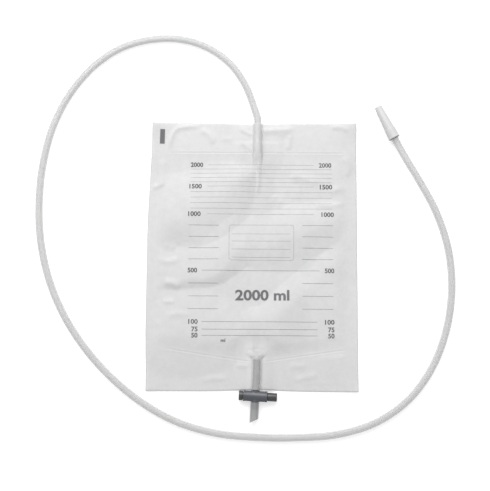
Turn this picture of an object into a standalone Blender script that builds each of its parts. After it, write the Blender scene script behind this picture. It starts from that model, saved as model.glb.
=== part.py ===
"""Urine drainage bag, two litres, lying empty on a table.

Two PVC films are welded round their border into a pouch. An inlet tube enters through the header,
where a flat film sleeve works as the non-return valve. A short outlet tube leaves through the lower
weld to a push-pull drain valve: a cross-shaped body, a sliding plunger and a drain spout.
The far end of the inlet tube carries a stepped connector under a pull-off cap.

Metres, +Z up. The bag lies on z = 0 with its header towards +Y. The origin is on the table, at the
middle of the bag and its drain, measured without the inlet tube and what is on it.
"""
import math

import bmesh
import bpy
import numpy as np
from mathutils import Vector

# Films and their welds
BAG_WIDTH = 0.211
BAG_LENGTH = 0.271
BACK_FILM = 0.00025
FRONT_FILM = 0.00020
FILM_GAP = 0.0003
SIDE_WELD = 0.006
HEADER_DEPTH = 0.031
VEE_WELD_LOW = 0.029
VEE_WELD_RISE = 0.155
PORT_OFFSET = 0.005
HEADER_GATHER = 0.0034
LOWER_GATHER = 0.0012
EDGE_PULL = 0.0016

# Inlet tube and the flat sleeve that it opens into
TUBE_OD = 0.0072
TUBE_INSET = 0.030
SLEEVE_WIDTH = 0.036
SLEEVE_LENGTH = 0.074
SLEEVE_TOP_INSET = 0.021
SLEEVE_WALL = 0.00015
SLEEVE_EDGE = 0.0015
SLEEVE_MOUTH = 0.0005
SLEEVE_PUFF = 0.0009

# Outlet tube and drain spout
OUTLET_OD = 0.0084
OUTLET_BORE = 0.0064
OUTLET_INSIDE = 0.031
OUTLET_BEND = (0.008, 0.029)
SPOUT_LENGTH = 0.0200
SPOUT_CUT = math.radians(27)

# Drain valve
VALVE_DROP = 0.0045
VALVE_TURN = math.radians(-3.1)
BARREL_LENGTH = 0.0236
BARREL_RADIUS = 0.0051
BARREL_RIM = 0.0002
BARREL_RIM_WIDTH = 0.0016
BARREL_BORE = 0.0044
COLLAR_RADIUS = 0.0042
COLLAR_STAND = 0.0006
SPIGOT_LENGTH = 0.0068
SPIGOT_RADIUS = 0.0029
FLOW_BORE = 0.0019
PLUNGER_FIT = 0.0003
PLUNGER_TRAVEL = 0.0075
PLUNGER_STAND = 0.0095
RIB_HEIGHT = 0.0005
RIB_WIDTH = 0.0012
WAIST_RADIUS = 0.0018
KNOB_LENGTH = 0.0040
KNOB_RADIUS = 0.0048
KNOB_DISH = 0.0005

# Connector and its cap
CAP_LENGTH = 0.0362
CAP_MOUTH_RADIUS = 0.0057
CAP_TIP_RADIUS = 0.0037
CAP_RIM = 0.0003
CAP_RIM_WIDTH = 0.0014
CAP_GRIP = 0.0100
CAP_GRIP_RADIUS = 0.0055
CAP_WALL = 0.0007
TUBE_IN_CAP = 0.005
CONNECTOR_LENGTH = 0.025
CONNECTOR_BORE = 0.0016
CONNECTOR_STEP = 0.0003
CONNECTOR_STEPS = 3

# Fit between neighbours, and how finely round things are divided
CLEARANCE = 0.0003
ROUND_SIDES = 28
TUBE_SIDES = 20

# Broad folds of the empty pouch, in millimetres. Each is a crest, its points listed from left to right
# as x, up from the lower edge, height, and the widths of its flanks on the header's side and on the
# tap's side. Then come the fullness of the two flanks and how round the crest is. A full flank is
# round and ends in a sharp foot, and one with no fullness is hollow and fades out
FOLDS = (
    ((
        (-113, 158, 1.2, 24, 9), (-98, 161, 1.8, 26, 12), (-81, 168, 3.0, 32, 17), (-57, 177, 4.5, 40, 21),
        (-37, 188, 5.8, 42, 20.5), (-21, 201, 5.8, 38, 17.5), (-10, 214, 4.6, 26, 11.5),
        (-3, 226, 3.0, 13, 6), (1, 236, 0, 8, 4),
    ), (0.2, 0.8), 5),
    ((
        (-113, 107, 0.8, 34, 5), (-95, 107, 1.2, 34, 5), (-84, 108, 1.6, 34, 6), (-59, 112, 2.4, 33, 8),
        (-38, 115, 3.0, 33, 8), (-25, 127, 3.4, 28, 10), (-15, 139, 3.2, 26, 12), (-4, 144, 3.0, 28, 12),
        (19, 144, 3.6, 30, 14), (36, 151, 5.0, 24, 22), (53, 158, 5.0, 19, 22), (77, 168, 3.6, 14, 16),
        (90, 177, 1.8, 9, 12), (104, 190, 0, 8, 8),
    ), (0.8, 0.6), 2.5),
    ((
        (-13, 64, 0, 12, 30), (4, 71, 1.6, 15, 36), (23, 74, 3.0, 19, 42), (40, 88, 4.2, 19, 46),
        (60, 101, 4.6, 22, 46), (77, 119, 3.4, 15, 40), (90, 129, 2.0, 12, 36), (104, 140, 0, 10, 30),
    ), (0.6, 0.0), 3),
    ((
        (18, 226, 0, 10, 24), (34, 229, 2.4, 14, 34), (52, 229, 3.2, 16, 36), (74, 225, 3.0, 16, 34),
        (96, 214, 1.6, 12, 28), (108, 206, 0, 10, 20),
    ), (0.0, 0.2), 3),
    ((
        (-108, 58, 0, 16, 12), (-88, 62, 1.2, 22, 16), (-66, 66, 1.8, 26, 18), (-44, 60, 1.2, 20, 14),
        (-28, 54, 0, 14, 10),
    ), (0.0, 0.3), 3),
)
PILLOW = 0.0010
PILLOW_EDGE = 0.016
HEADER_EDGE = 0.026
CREASE = 0.0004

# How the front film opens out past the outlet tube's end, in radii of that tube
POCKET_START = 1.7
POCKET_HALF_WIDTH = 5.0
POCKET_OPENS = 5.0
POCKET_DEPTH = 8.0

# Corners that lift off the table: side, end, height and reach
CORNER_CURLS = (
    (-1, 1, 0.0034, 0.034),
    (1, 1, 0.0040, 0.036),
    (-1, 0, 0.0012, 0.026),
    (1, 0, 0.0016, 0.026),
)

# Places worked out from the sizes above
TUBE_R = TUBE_OD / 2
OUTLET_R = OUTLET_OD / 2
RIM_RADIUS = BARREL_RADIUS + BARREL_RIM
COLLAR_END = BARREL_RADIUS + COLLAR_STAND
SPOUT_START = COLLAR_END + CLEARANCE
DRAIN_REACH = VALVE_DROP + SPOUT_START + SPOUT_LENGTH
BAG_TOP = (BAG_LENGTH + DRAIN_REACH) / 2
BAG_LOW = BAG_TOP - BAG_LENGTH
HEADER_LINE = BAG_LENGTH - HEADER_DEPTH
SLEEVE_TOP = BAG_LENGTH - SLEEVE_TOP_INSET
SLEEVE_LOW = SLEEVE_TOP - SLEEVE_LENGTH
TUBE_END = BAG_LENGTH - TUBE_INSET
FILM_TOP = BACK_FILM + CLEARANCE
SLEEVE_FLOOR = FILM_TOP + SLEEVE_WALL
INLET_Z = SLEEVE_FLOOR + CLEARANCE + TUBE_R
OUTLET_Z = RIM_RADIUS

# Tent of a film over a tube: the angle at which it leaves the round of the tube
TENT_SLOPE = math.radians(62)

# Where the inlet tube lies: points along its middle, as x, up from the bag's lower edge, and height
# above the height at which it touches the table
ROUTE_ON_TABLE = (
    (0.0012, 0.2874, 0.0002), (-0.0074, 0.3098, 0), (-0.0215, 0.3310, 0), (-0.0444, 0.3488, 0),
    (-0.0744, 0.3586, 0), (-0.1061, 0.3581, 0), (-0.1356, 0.3492, 0), (-0.1620, 0.3310, 0),
    (-0.1840, 0.3050, 0), (-0.2015, 0.2710, 0), (-0.2117, 0.2310, 0), (-0.2149, 0.1900, 0),
    (-0.2121, 0.1490, 0), (-0.2027, 0.1104, 0), (-0.1865, 0.0740, 0), (-0.1641, 0.0409, 0),
    (-0.1367, 0.0118, 0), (-0.1055, -0.0125, 0), (-0.0716, -0.0302, 0), (-0.0341, -0.0405, 0),
    (0.0050, -0.0441, 0), (0.0445, -0.0442, 0), (0.0832, -0.0411, 0), (0.1205, -0.0300, 0),
    (0.1536, -0.0076, 0), (0.1775, 0.0237, 0), (0.1922, 0.0598, 0), (0.1988, 0.0990, 0),
    (0.1969, 0.1392, 0), (0.1857, 0.1783, 0), (0.1673, 0.2141, 0.0005), (0.1537, 0.2370, 0.0016),
)
CAP_MOUTH = (0.1438, 0.2553)
CAP_HEADING = math.radians(26.8)
ROUTE_STEP = 2.5 * TUBE_OD


def clear_scene():
    """Remove whatever the file holds before the bag is modelled."""
    for old in list(bpy.data.objects):
        bpy.data.objects.remove(old, do_unlink=True)


def finish(name, colour, roughness, metallic=0.0):
    """A plain material in the colour of the real piece."""
    material = bpy.data.materials.new(name)
    material.use_nodes = True
    shader = material.node_tree.nodes["Principled BSDF"]
    shader.inputs["Base Color"].default_value = (*colour, 1.0)
    shader.inputs["Roughness"].default_value = roughness
    shader.inputs["Metallic"].default_value = metallic
    return material


def put_in_scene(name, data, material, parent=None):
    """Link a mesh or curve as a named piece, on the given carrier."""
    piece = bpy.data.objects.new(name, data)
    bpy.context.collection.objects.link(piece)
    if material:
        data.materials.append(material)
    piece.parent = parent
    return piece


def carrier(name, place, heading=0.0):
    """An empty that stands where a group of pieces has its own origin."""
    empty = bpy.data.objects.new(name, None)
    empty.location = place
    empty.rotation_euler = (0, 0, heading)
    bpy.context.collection.objects.link(empty)
    return empty


def mesh_from(name, vertices, faces, smooth=True):
    """A mesh from arrays of vertices and faces."""
    mesh = bpy.data.meshes.new(name)
    mesh.from_pydata([tuple(v) for v in np.asarray(vertices, float)], [], [tuple(f) for f in faces])
    mesh.validate()
    if smooth:
        mesh.shade_smooth()
    return mesh


def smoothstep(x, start, end):
    """0 before start, 1 after end, and an even S between them."""
    t = np.clip((x - start) / (end - start), 0, 1)
    return t * t * (3 - 2 * t)


def either(a, b, blend):
    """The higher of two heights, with the corner between them rounded."""
    return (a + b + np.sqrt((a - b) ** 2 + blend ** 2)) / 2


def tent(across, radius, axis_height):
    """Height of a film laid over a round of this radius: an arc, then a straight run down."""
    reach = radius * math.sin(TENT_SLOPE)
    shoulder = axis_height + radius * math.cos(TENT_SLOPE)
    arc = axis_height + np.sqrt(np.maximum(radius ** 2 - np.minimum(across, reach) ** 2, 0))
    run = shoulder - (across - reach) * math.tan(TENT_SLOPE)
    return np.where(across < reach, arc, run)


def vee_weld(x):
    """How far up the lower weld runs: a shallow V with a round bottom at the outlet."""
    return VEE_WELD_LOW + VEE_WELD_RISE * (np.sqrt((x - PORT_OFFSET) ** 2 + 0.01 ** 2) - 0.01)


def outlet_x(up):
    """Sideways place of the outlet tube: straight in the pouch, bent onto the tap's axis at the edge."""
    low, high = OUTLET_BEND
    bent = (high - np.clip(up, low, high)) ** 2 / (2 * (high - low)) + np.maximum(low - up, 0)
    return PORT_OFFSET + math.tan(VALVE_TURN) * bent


def smooth_line(points, spacing):
    """A smooth curve through the points, read again at even steps along its length.

    Between two points it is a cubic whose ends follow the line between each point's neighbours.
    """
    gaps = np.linalg.norm(np.diff(points, axis=0), axis=1)
    knots = np.concatenate([[0], np.cumsum(gaps)])
    slopes = np.gradient(points, knots, axis=0)
    t = np.linspace(0, 1, 24, endpoint=False)[None, :, None]
    size = gaps[:, None, None]
    here, there = points[:-1, None], points[1:, None]
    out, back = slopes[:-1, None] * size, slopes[1:, None] * size
    curve = (2 * t ** 3 - 3 * t ** 2 + 1) * here + (t ** 3 - 2 * t ** 2 + t) * out
    curve = curve + (3 * t ** 2 - 2 * t ** 3) * there + (t ** 3 - t ** 2) * back
    curve = np.vstack([curve.reshape(-1, points.shape[1]), points[-1:]])
    travel = np.concatenate([[0], np.cumsum(np.linalg.norm(np.diff(curve, axis=0), axis=1))])
    even = np.linspace(0, travel[-1], max(2, round(travel[-1] / spacing) + 1))
    return np.stack([np.interp(even, travel, axis) for axis in curve.T], 1)


def crest_place(x, up, line):
    """The distance from a crest line, which side of it a point is on, and how far along, 0 to 1."""
    best = np.full(np.shape(x), 1.0)
    side = np.ones(np.shape(x))
    along = np.zeros(np.shape(x))
    count = len(line) - 1
    for number, ((x0, y0), (x1, y1)) in enumerate(zip(line, line[1:])):
        dx, dy = x1 - x0, y1 - y0
        t = np.clip(((x - x0) * dx + (up - y0) * dy) / (dx * dx + dy * dy), 0, 1)
        away = np.hypot(x - x0 - t * dx, up - y0 - t * dy)
        nearer = away < best
        best = np.where(nearer, away, best)
        side = np.where(nearer, np.sign(dx * (up - y0) - dy * (x - x0)), side)
        along = np.where(nearer, (number + t) / count, along)
    return best, side, along


def folds_height(x, up, folds):
    """Heights of the folds, added up.

    On a flank, u is the distance from the crest over the flank's width. A full flank falls as
    1 - u ** 1.6 and a hollow one as (1 - u) ** 1.5, and its fullness blends the two.
    """
    mm = 0.001
    total = np.zeros(np.shape(x))
    for points, (full_above, full_below), crest_round in folds:
        crest = smooth_line(np.array(points, float) * mm, 4 * mm)
        away, side, along = crest_place(x, up, crest[:, :2])
        share = np.linspace(0, 1, len(crest))
        height, above, below = (np.interp(along, share, column) for column in crest.T[2:])
        softened = np.sqrt(away ** 2 + (crest_round * mm) ** 2) - crest_round * mm
        u = np.minimum(softened / np.where(side > 0, above, below), 1)
        full = np.where(side > 0, full_above, full_below)
        total = total + height * (full * (1 - u ** 1.6) + (1 - full) * (1 - u) ** 1.5)
    return total


def table_lift(x, up):
    """Height of the back film's underside: zero but for the curled corners and the outlet."""
    lift = np.zeros(np.shape(x))
    for side, end, height, reach in CORNER_CURLS:
        away = np.hypot(x - side * BAG_WIDTH / 2, up - end * BAG_LENGTH)
        lift = lift + height * np.maximum(0, 1 - away / reach) ** 2
    across = np.abs(x - outlet_x(up))
    hold = OUTLET_R + CLEARANCE
    under = OUTLET_Z - np.sqrt(np.maximum(hold ** 2 - across ** 2, 0)) - BACK_FILM
    wing_at = 1.35 * OUTLET_R
    wing = 0.5 * OUTLET_Z * (1 - smoothstep(across, wing_at, 5 * OUTLET_R))
    cradle = np.where(across < wing_at, np.minimum(under, wing), wing)
    return lift + cradle * (1 - smoothstep(up, 0.9 * OUTLET_INSIDE, 1.9 * OUTLET_INSIDE))


def pouch_share(x, up):
    """0 on the welds and 1 well inside the pouch."""
    side = BAG_WIDTH / 2 - SIDE_WELD - np.abs(x)
    lower = up - vee_weld(x)
    upper = HEADER_LINE - up
    return (
        smoothstep(side, 0, PILLOW_EDGE)
        * smoothstep(lower, 0, PILLOW_EDGE)
        * smoothstep(upper, 0, HEADER_EDGE)
    )


def over_inlet(x, up, stand):
    """Height of a film that stands this far off the inside of the sleeve.

    It is round over the inlet tube, and nearly flat over the lips below the tube's end.
    """
    across = np.abs(x - PORT_OFFSET)
    over_tube = tent(across, TUBE_R + CLEARANCE + stand, INLET_Z)
    share = smoothstep(up, SLEEVE_LOW + 0.3 * SLEEVE_LENGTH, TUBE_END - TUBE_R)
    flat = SLEEVE_FLOOR + SLEEVE_MOUTH + stand
    puff = SLEEVE_PUFF * (1 - smoothstep(across, 0, SLEEVE_WIDTH / 2))
    return share * np.maximum(over_tube, flat) + (1 - share) * (flat + puff)


def back_top(x, up):
    """Height of the back film's upper face."""
    return table_lift(x, up) + BACK_FILM


def front_under(x, up):
    """Height of the front film's lower face over the table."""
    ground = back_top(x, up) + FILM_GAP
    height = ground + (PILLOW + folds_height(x, up, FOLDS)) * pouch_share(x, up)

    across = np.abs(x - PORT_OFFSET)
    past_sleeve = SLEEVE_WIDTH / 2 + 4 * CLEARANCE
    on_sleeve = (1 - smoothstep(across, past_sleeve, 1.5 * past_sleeve)) * smoothstep(
        up, SLEEVE_LOW - 0.012, SLEEVE_LOW - 0.001
    )
    sleeve_cover = over_inlet(x, up, CLEARANCE + 2 * SLEEVE_WALL)
    height = either(height, ground + (sleeve_cover - ground) * on_sleeve, CREASE)

    across = np.abs(x - outlet_x(up))
    tube_hold = tent(across, OUTLET_R + CLEARANCE * 1.4, OUTLET_Z)
    on_outlet = 1 - smoothstep(up, OUTLET_INSIDE, OUTLET_INSIDE + 0.003)
    held = either(height, ground + (tube_hold - ground) * on_outlet, CREASE)
    height = np.where(on_outlet > 0, held, height)
    past_end = np.maximum(0, up - OUTLET_INSIDE) / OUTLET_R
    opened = POCKET_START + (POCKET_HALF_WIDTH - POCKET_START) * smoothstep(past_end, 0, POCKET_OPENS)
    pocket = np.maximum(0, 1 - across / OUTLET_R / opened)
    pocket = pocket * np.maximum(0, 1 - past_end / POCKET_DEPTH) ** 1.3
    top = OUTLET_Z + OUTLET_R + 2 * CLEARANCE - ground
    return np.maximum(height, ground + top * pocket * smoothstep(up, OUTLET_INSIDE - 0.002, OUTLET_INSIDE))


def film_lines():
    """Lines of the films' net: close together over the ports and at the welds, wide elsewhere."""
    near = (OUTLET_R + CLEARANCE) * np.array([0, 0.42, 0.78, 1.05, 1.42, 2.2, 3.5])
    left = np.linspace(-BAG_WIDTH / 2 + SIDE_WELD, PORT_OFFSET - near[-1], 9)[:-1]
    right = np.linspace(PORT_OFFSET + near[-1], BAG_WIDTH / 2 - SIDE_WELD, 8)[1:]
    across = np.concatenate([
        [-BAG_WIDTH / 2], left, PORT_OFFSET - near[:0:-1], PORT_OFFSET + near, right, [BAG_WIDTH / 2],
    ])
    port = np.linspace(0, OUTLET_INSIDE - 0.005, 4)
    weld = OUTLET_INSIDE + np.array([-0.002, 0, 0.003, 0.008, 0.014])
    pouch = np.linspace(weld[-1], SLEEVE_LOW, 14)[1:]
    sleeve = np.linspace(SLEEVE_LOW, TUBE_END - TUBE_R, 6)[1:]
    header = [TUBE_END, HEADER_LINE + 0.004, SLEEVE_TOP, SLEEVE_TOP + 0.4 * SLEEVE_TOP_INSET, BAG_LENGTH]
    return across, np.concatenate([port, weld, pouch, sleeve, header])


def film(name, height, thickness, material):
    """One film of the bag: a net of triangles at the given height, made solid upwards."""
    across, up = film_lines()
    x, v = np.meshgrid(across, up)
    z = height(x, v)
    from_port = x - PORT_OFFSET
    gather = HEADER_GATHER * smoothstep(v, 0.55 * BAG_LENGTH, BAG_LENGTH)
    gather = gather + LOWER_GATHER * (1 - smoothstep(v, 0, 0.25 * BAG_LENGTH))
    left_arm = BAG_WIDTH / 2 + PORT_OFFSET
    place_x = x - np.minimum(from_port, 0) / left_arm * gather
    pull = EDGE_PULL * np.exp(-(from_port / (0.15 * BAG_WIDTH)) ** 2)
    ends = smoothstep(v, 0.9 * BAG_LENGTH, BAG_LENGTH) * -0.6 + (1 - smoothstep(v, 0, 0.08 * BAG_LENGTH))
    place_y = BAG_LOW + v + pull * ends
    corners = np.stack([place_x.ravel(), place_y.ravel(), z.ravel()], 1)
    rows, columns = x.shape
    first = (np.arange(rows - 1)[:, None] * columns + np.arange(columns - 1)).ravel()
    lower = np.stack([first, first + 1, first + columns + 1], 1)
    upper = np.stack([first, first + columns + 1, first + columns], 1)
    piece = put_in_scene(name, mesh_from(name, corners, np.vstack([lower, upper])), material)
    solid = piece.modifiers.new("thickness", "SOLIDIFY")
    solid.thickness = thickness
    solid.offset = 1.0
    solid.use_even_offset = True
    return piece


def sleeve(material):
    """The non-return valve: a flat film sleeve, round over the tube's end and two lips below."""
    half = SLEEVE_WIDTH / 2
    hold = TUBE_R + CLEARANCE
    near = hold * np.array([0, 0.45, 0.8, 1.1, 1.6])
    right = np.concatenate([near, [0.6 * half, half - SLEEVE_EDGE]])
    inner_x = PORT_OFFSET + np.concatenate([-right[:0:-1], right])
    outer_x = np.concatenate([[PORT_OFFSET - half], inner_x[1:-1], [PORT_OFFSET + half]])
    stations = np.concatenate([
        [SLEEVE_TOP, TUBE_END, TUBE_END - TUBE_R],
        np.linspace(TUBE_END - TUBE_R, SLEEVE_LOW, 6)[1:],
    ])

    def loop(x, up, wall):
        over = over_inlet(x, up, wall)
        under = np.full(len(x), SLEEVE_FLOOR - wall)
        top = np.stack([x, np.full(len(x), BAG_LOW + up), over], 1)
        bottom = np.stack([x[::-1], np.full(len(x), BAG_LOW + up), under], 1)
        return np.vstack([top, bottom])

    rings = []
    for up in stations:
        rings.append(loop(outer_x, up, SLEEVE_WALL))
        rings.append(loop(inner_x, up, 0.0))
    count = len(rings[0])
    vertices = np.vstack(rings)
    faces = []
    for row in range(len(stations) - 1):
        for step in range(count):
            after = (step + 1) % count
            here, there = 2 * row * count, 2 * (row + 1) * count
            faces.append((here + step, here + after, there + after, there + step))
            inner, inner_next = here + count, there + count
            faces.append((inner + step, inner_next + step, inner_next + after, inner + after))
    for row, flip in ((0, False), (len(stations) - 1, True)):
        start = 2 * row * count
        for step in range(count):
            after = (step + 1) % count
            face = (start + step, start + count + step, start + count + after, start + after)
            faces.append(face[::-1] if flip else face)
    mesh = mesh_from("non_return_valve", vertices, faces)
    shape = bmesh.new()
    shape.from_mesh(mesh)
    bmesh.ops.triangulate(shape, faces=shape.faces)
    bmesh.ops.recalc_face_normals(shape, faces=shape.faces)
    shape.to_mesh(mesh)
    shape.free()
    return put_in_scene("non_return_valve", mesh, material)


def turned(name, profile, sides, along="X", closed=False):
    """A turned mesh: a profile of (radius, place along the axis) spun once round the axis.

    A closed profile is a ring or a pipe. An open one starts and ends on the axis.
    """
    shape = bmesh.new()
    axis = {"X": Vector((1, 0, 0)), "Y": Vector((0, 1, 0))}[along]
    out = Vector((0, 0, 1))
    corners = [shape.verts.new(axis * place + out * radius) for radius, place in profile]
    edges = [shape.edges.new(pair) for pair in zip(corners, corners[1:])]
    if closed:
        edges.append(shape.edges.new((corners[-1], corners[0])))
    bmesh.ops.spin(
        shape, geom=corners + edges, cent=(0, 0, 0), axis=axis, angle=math.tau, steps=sides, use_merge=True,
    )
    bmesh.ops.remove_doubles(shape, verts=shape.verts, dist=1e-7)
    bmesh.ops.dissolve_degenerate(shape, edges=shape.edges, dist=1e-8)
    bmesh.ops.recalc_face_normals(shape, faces=shape.faces)
    mesh = bpy.data.meshes.new(name)
    shape.to_mesh(mesh)
    shape.free()
    mesh.shade_smooth()
    mesh.set_sharp_from_angle(angle=math.radians(35))
    return mesh


def pipe(name, rings):
    """A pipe's mesh from its rings of points: along the outer wall, and back along the inner one."""
    count = len(rings)
    faces = []
    for here in range(count):
        there = (here + 1) % count
        for step in range(TUBE_SIDES):
            after = (step + 1) % TUBE_SIDES
            a, b = here * TUBE_SIDES, there * TUBE_SIDES
            faces.append((a + step, a + after, b + after, b + step))
    mesh = mesh_from(name, np.vstack(rings), faces)
    shape = bmesh.new()
    shape.from_mesh(mesh)
    bmesh.ops.recalc_face_normals(shape, faces=shape.faces)
    shape.to_mesh(mesh)
    shape.free()
    mesh.set_sharp_from_angle(angle=math.radians(35))
    return mesh


def join_or_cut(piece, tool, operation):
    """A Boolean with a tool that isn't part of the model."""
    tool.display_type = "WIRE"
    tool.hide_render = True
    change = piece.modifiers.new(tool.name, "BOOLEAN")
    change.operation = operation
    change.solver = "EXACT"
    change.object = tool


def valve_body(material, place):
    """The cross: a rimmed barrel for the plunger and a spigot up and down for the tubes."""
    half = BARREL_LENGTH / 2
    edge = BARREL_RIM
    rim_end = half - BARREL_RIM_WIDTH
    arm = [
        (RIM_RADIUS - edge, half), (RIM_RADIUS, half - edge),
        (RIM_RADIUS, rim_end), (BARREL_RADIUS, rim_end - edge),
    ]
    profile = [(0, -half)] + [(r, -x) for r, x in arm] + [(r, x) for r, x in arm[::-1]] + [(0, half)]
    body = put_in_scene("valve_body", turned("valve_body", profile, ROUND_SIDES), material, place)
    reach = COLLAR_END + SPIGOT_LENGTH
    lead = 0.0005
    spigot = [
        (SPIGOT_RADIUS - lead, reach), (SPIGOT_RADIUS, reach - lead),
        (SPIGOT_RADIUS, COLLAR_END), (COLLAR_RADIUS, COLLAR_END),
    ]
    stem = [(0, -reach)] + [(r, -y) for r, y in spigot] + [(r, y) for r, y in spigot[::-1]] + [(0, reach)]
    stem_tool = put_in_scene("stem_form", turned("stem_form", stem, TUBE_SIDES, "Y"), None, place)
    join_or_cut(body, stem_tool, "UNION")
    past = 2 * half
    bore = [(0, -past), (BARREL_BORE, -past), (BARREL_BORE, past), (0, past)]
    bore_tool = put_in_scene("barrel_bore", turned("barrel_bore", bore, ROUND_SIDES), None, place)
    # A cutter stands half a facet round, so that none of its edges meets an edge of the part
    bore_tool.rotation_euler.x = math.pi / ROUND_SIDES
    join_or_cut(body, bore_tool, "DIFFERENCE")
    flow = [(0, -2 * reach), (FLOW_BORE, -2 * reach), (FLOW_BORE, 2 * reach), (0, 2 * reach)]
    flow_tool = put_in_scene("flow_bore", turned("flow_bore", flow, TUBE_SIDES, "Y"), None, place)
    flow_tool.rotation_euler.y = math.pi / TUBE_SIDES
    join_or_cut(body, flow_tool, "DIFFERENCE")
    return body


def valve_plunger(material, place):
    """The slider: a knob outside the barrel, three sealing ribs, and a waist that lets urine through."""
    half = BARREL_LENGTH / 2
    outer = BARREL_BORE - PLUNGER_FIT
    shaft = outer - RIB_HEIGHT
    edge = 0.0004
    knob_in = -half - CLEARANCE
    knob_out = knob_in - KNOB_LENGTH
    profile = [
        (0, knob_out + KNOB_DISH), (0.62 * KNOB_RADIUS, knob_out + KNOB_DISH),
        (0.76 * KNOB_RADIUS, knob_out), (KNOB_RADIUS - edge, knob_out),
        (KNOB_RADIUS, knob_out + edge), (KNOB_RADIUS, knob_in - edge),
        (KNOB_RADIUS - edge, knob_in), (shaft, knob_in),
    ]

    def rib(middle):
        flank = RIB_WIDTH / 4
        return [
            (shaft, middle - RIB_WIDTH / 2), (outer, middle - flank),
            (outer, middle + flank), (shaft, middle + RIB_WIDTH / 2),
        ]

    last_rib = half - RIB_WIDTH / 2 - 0.0003
    middle_rib = PLUNGER_TRAVEL / 2 + 0.0002
    first_rib = middle_rib - PLUNGER_TRAVEL
    profile += rib(first_rib) + rib(middle_rib)
    waist_from = middle_rib + RIB_WIDTH / 2 + edge
    waist_to = last_rib - RIB_WIDTH / 2 - edge
    profile += [
        (shaft, waist_from), (WAIST_RADIUS, waist_from + edge),
        (WAIST_RADIUS, waist_to - edge), (shaft, waist_to),
    ]
    profile += rib(last_rib)
    thumb = half + PLUNGER_STAND
    profile += [(shaft, half), (outer, half + edge), (outer, thumb - edge)]
    profile += [(outer - edge, thumb), (0, thumb)]
    return put_in_scene("valve_plunger", turned("valve_plunger", profile, ROUND_SIDES), material, place)


def outlet_tube(material):
    """The short tube from the pouch to the tap, welded between the films and bent onto the tap's axis."""
    turn = np.arange(TUBE_SIDES) * math.tau / TUBE_SIDES
    up = np.concatenate([[SPOUT_START - VALVE_DROP], np.linspace(*OUTLET_BEND, 4), [OUTLET_INSIDE]])
    rings = []
    for radius, order in ((OUTLET_R, 1), (OUTLET_BORE / 2, -1)):
        for here in up[::order]:
            x = outlet_x(here) + radius * np.cos(turn)
            y = np.full(TUBE_SIDES, BAG_LOW + here)
            rings.append(np.stack([x, y, OUTLET_Z + radius * np.sin(turn)], 1))
    return put_in_scene("outlet_tube", pipe("outlet_tube", rings), material)


def drain_spout(material, place):
    """The tube below the tap, on its lower spigot, with its end cut at a slant."""
    turn = np.arange(TUBE_SIDES) * math.tau / TUBE_SIDES
    rings = []
    for radius, order in ((OUTLET_R, 1), (OUTLET_BORE / 2, -1)):
        across, height = radius * np.cos(turn), radius * np.sin(turn)
        for share in (0, 1)[::order]:
            back = share * math.tan(SPOUT_CUT) * (across + OUTLET_R)
            rings.append(np.stack([across, -SPOUT_START - share * SPOUT_LENGTH + back, height], 1))
    return put_in_scene("drain_spout", pipe("drain_spout", rings), material, place)


def cap_inner(along):
    """Inside radius of the cap at this distance from its mouth."""
    return CAP_MOUTH_RADIUS - CAP_WALL - (CAP_MOUTH_RADIUS - CAP_TIP_RADIUS) * along / CAP_LENGTH


def connector_cap(material, place):
    """The pull-off cap: a tapered sleeve with a rimmed mouth, a wider grip and a closed tip."""
    edge = 0.0005
    rim = CAP_MOUTH_RADIUS + CAP_RIM
    above_grip = CAP_GRIP + CAP_RIM
    bottom = CAP_LENGTH - 1.5 * CAP_WALL
    profile = [
        (0, CAP_LENGTH), (CAP_TIP_RADIUS - edge, CAP_LENGTH), (CAP_TIP_RADIUS, CAP_LENGTH - edge),
        (cap_inner(above_grip) + CAP_WALL, above_grip), (CAP_GRIP_RADIUS, CAP_GRIP),
        (CAP_MOUTH_RADIUS, CAP_RIM_WIDTH + CAP_RIM), (rim, CAP_RIM_WIDTH), (rim, CAP_RIM),
        (rim - CAP_RIM, 0), (cap_inner(0), 0), (cap_inner(bottom), bottom), (0, bottom),
    ]
    mesh = turned("connector_cap", profile, ROUND_SIDES, "Y")
    return put_in_scene("connector_cap", mesh, material, place)


def tube_connector(material, place):
    """The catheter connector: a collar at the tube's end, then a taper in steps, bored through."""
    start = TUBE_IN_CAP + CLEARANCE
    collar = 0.002
    tip = start + CONNECTOR_LENGTH
    step = (tip - start - collar) / CONNECTOR_STEPS
    collar_radius = cap_inner(start + collar) - CLEARANCE
    profile = [(CONNECTOR_BORE, start), (collar_radius, start), (collar_radius, start + collar)]
    for number in range(CONNECTOR_STEPS):
        begin = start + collar + number * step
        for place_along, drop in ((begin, 0), (begin + step, CONNECTOR_STEP)):
            radius = cap_inner(begin + step) - CLEARANCE - CONNECTOR_STEP - drop
            profile.append((radius, place_along))
    end = tip + CONNECTOR_STEP
    profile += [(profile[-1][0] - CONNECTOR_STEP, end), (CONNECTOR_BORE, end)]
    mesh = turned("tube_connector", profile, ROUND_SIDES, "Y", True)
    return put_in_scene("tube_connector", mesh, material, place)


def route_points():
    """The inlet tube's own points, from its open end in the pouch to its end in the cap."""
    table_z = TUBE_R + 0.00005
    cap_z = CAP_MOUTH_RADIUS + CAP_RIM
    heading = Vector((-math.sin(CAP_HEADING), math.cos(CAP_HEADING), 0))
    mouth = Vector((CAP_MOUTH[0], BAG_LOW + CAP_MOUTH[1], cap_z))
    straight = [TUBE_END, SLEEVE_TOP, BAG_LENGTH - 0.006, BAG_LENGTH + 0.003]
    points = [Vector((PORT_OFFSET, BAG_LOW + up, INLET_Z)) for up in straight]
    points += [Vector((x, BAG_LOW + up, table_z + rise)) for x, up, rise in ROUTE_ON_TABLE]
    points += [mouth - heading * (0.4 * TUBE_OD), mouth + heading * TUBE_IN_CAP]
    return np.array(points, float)


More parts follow.
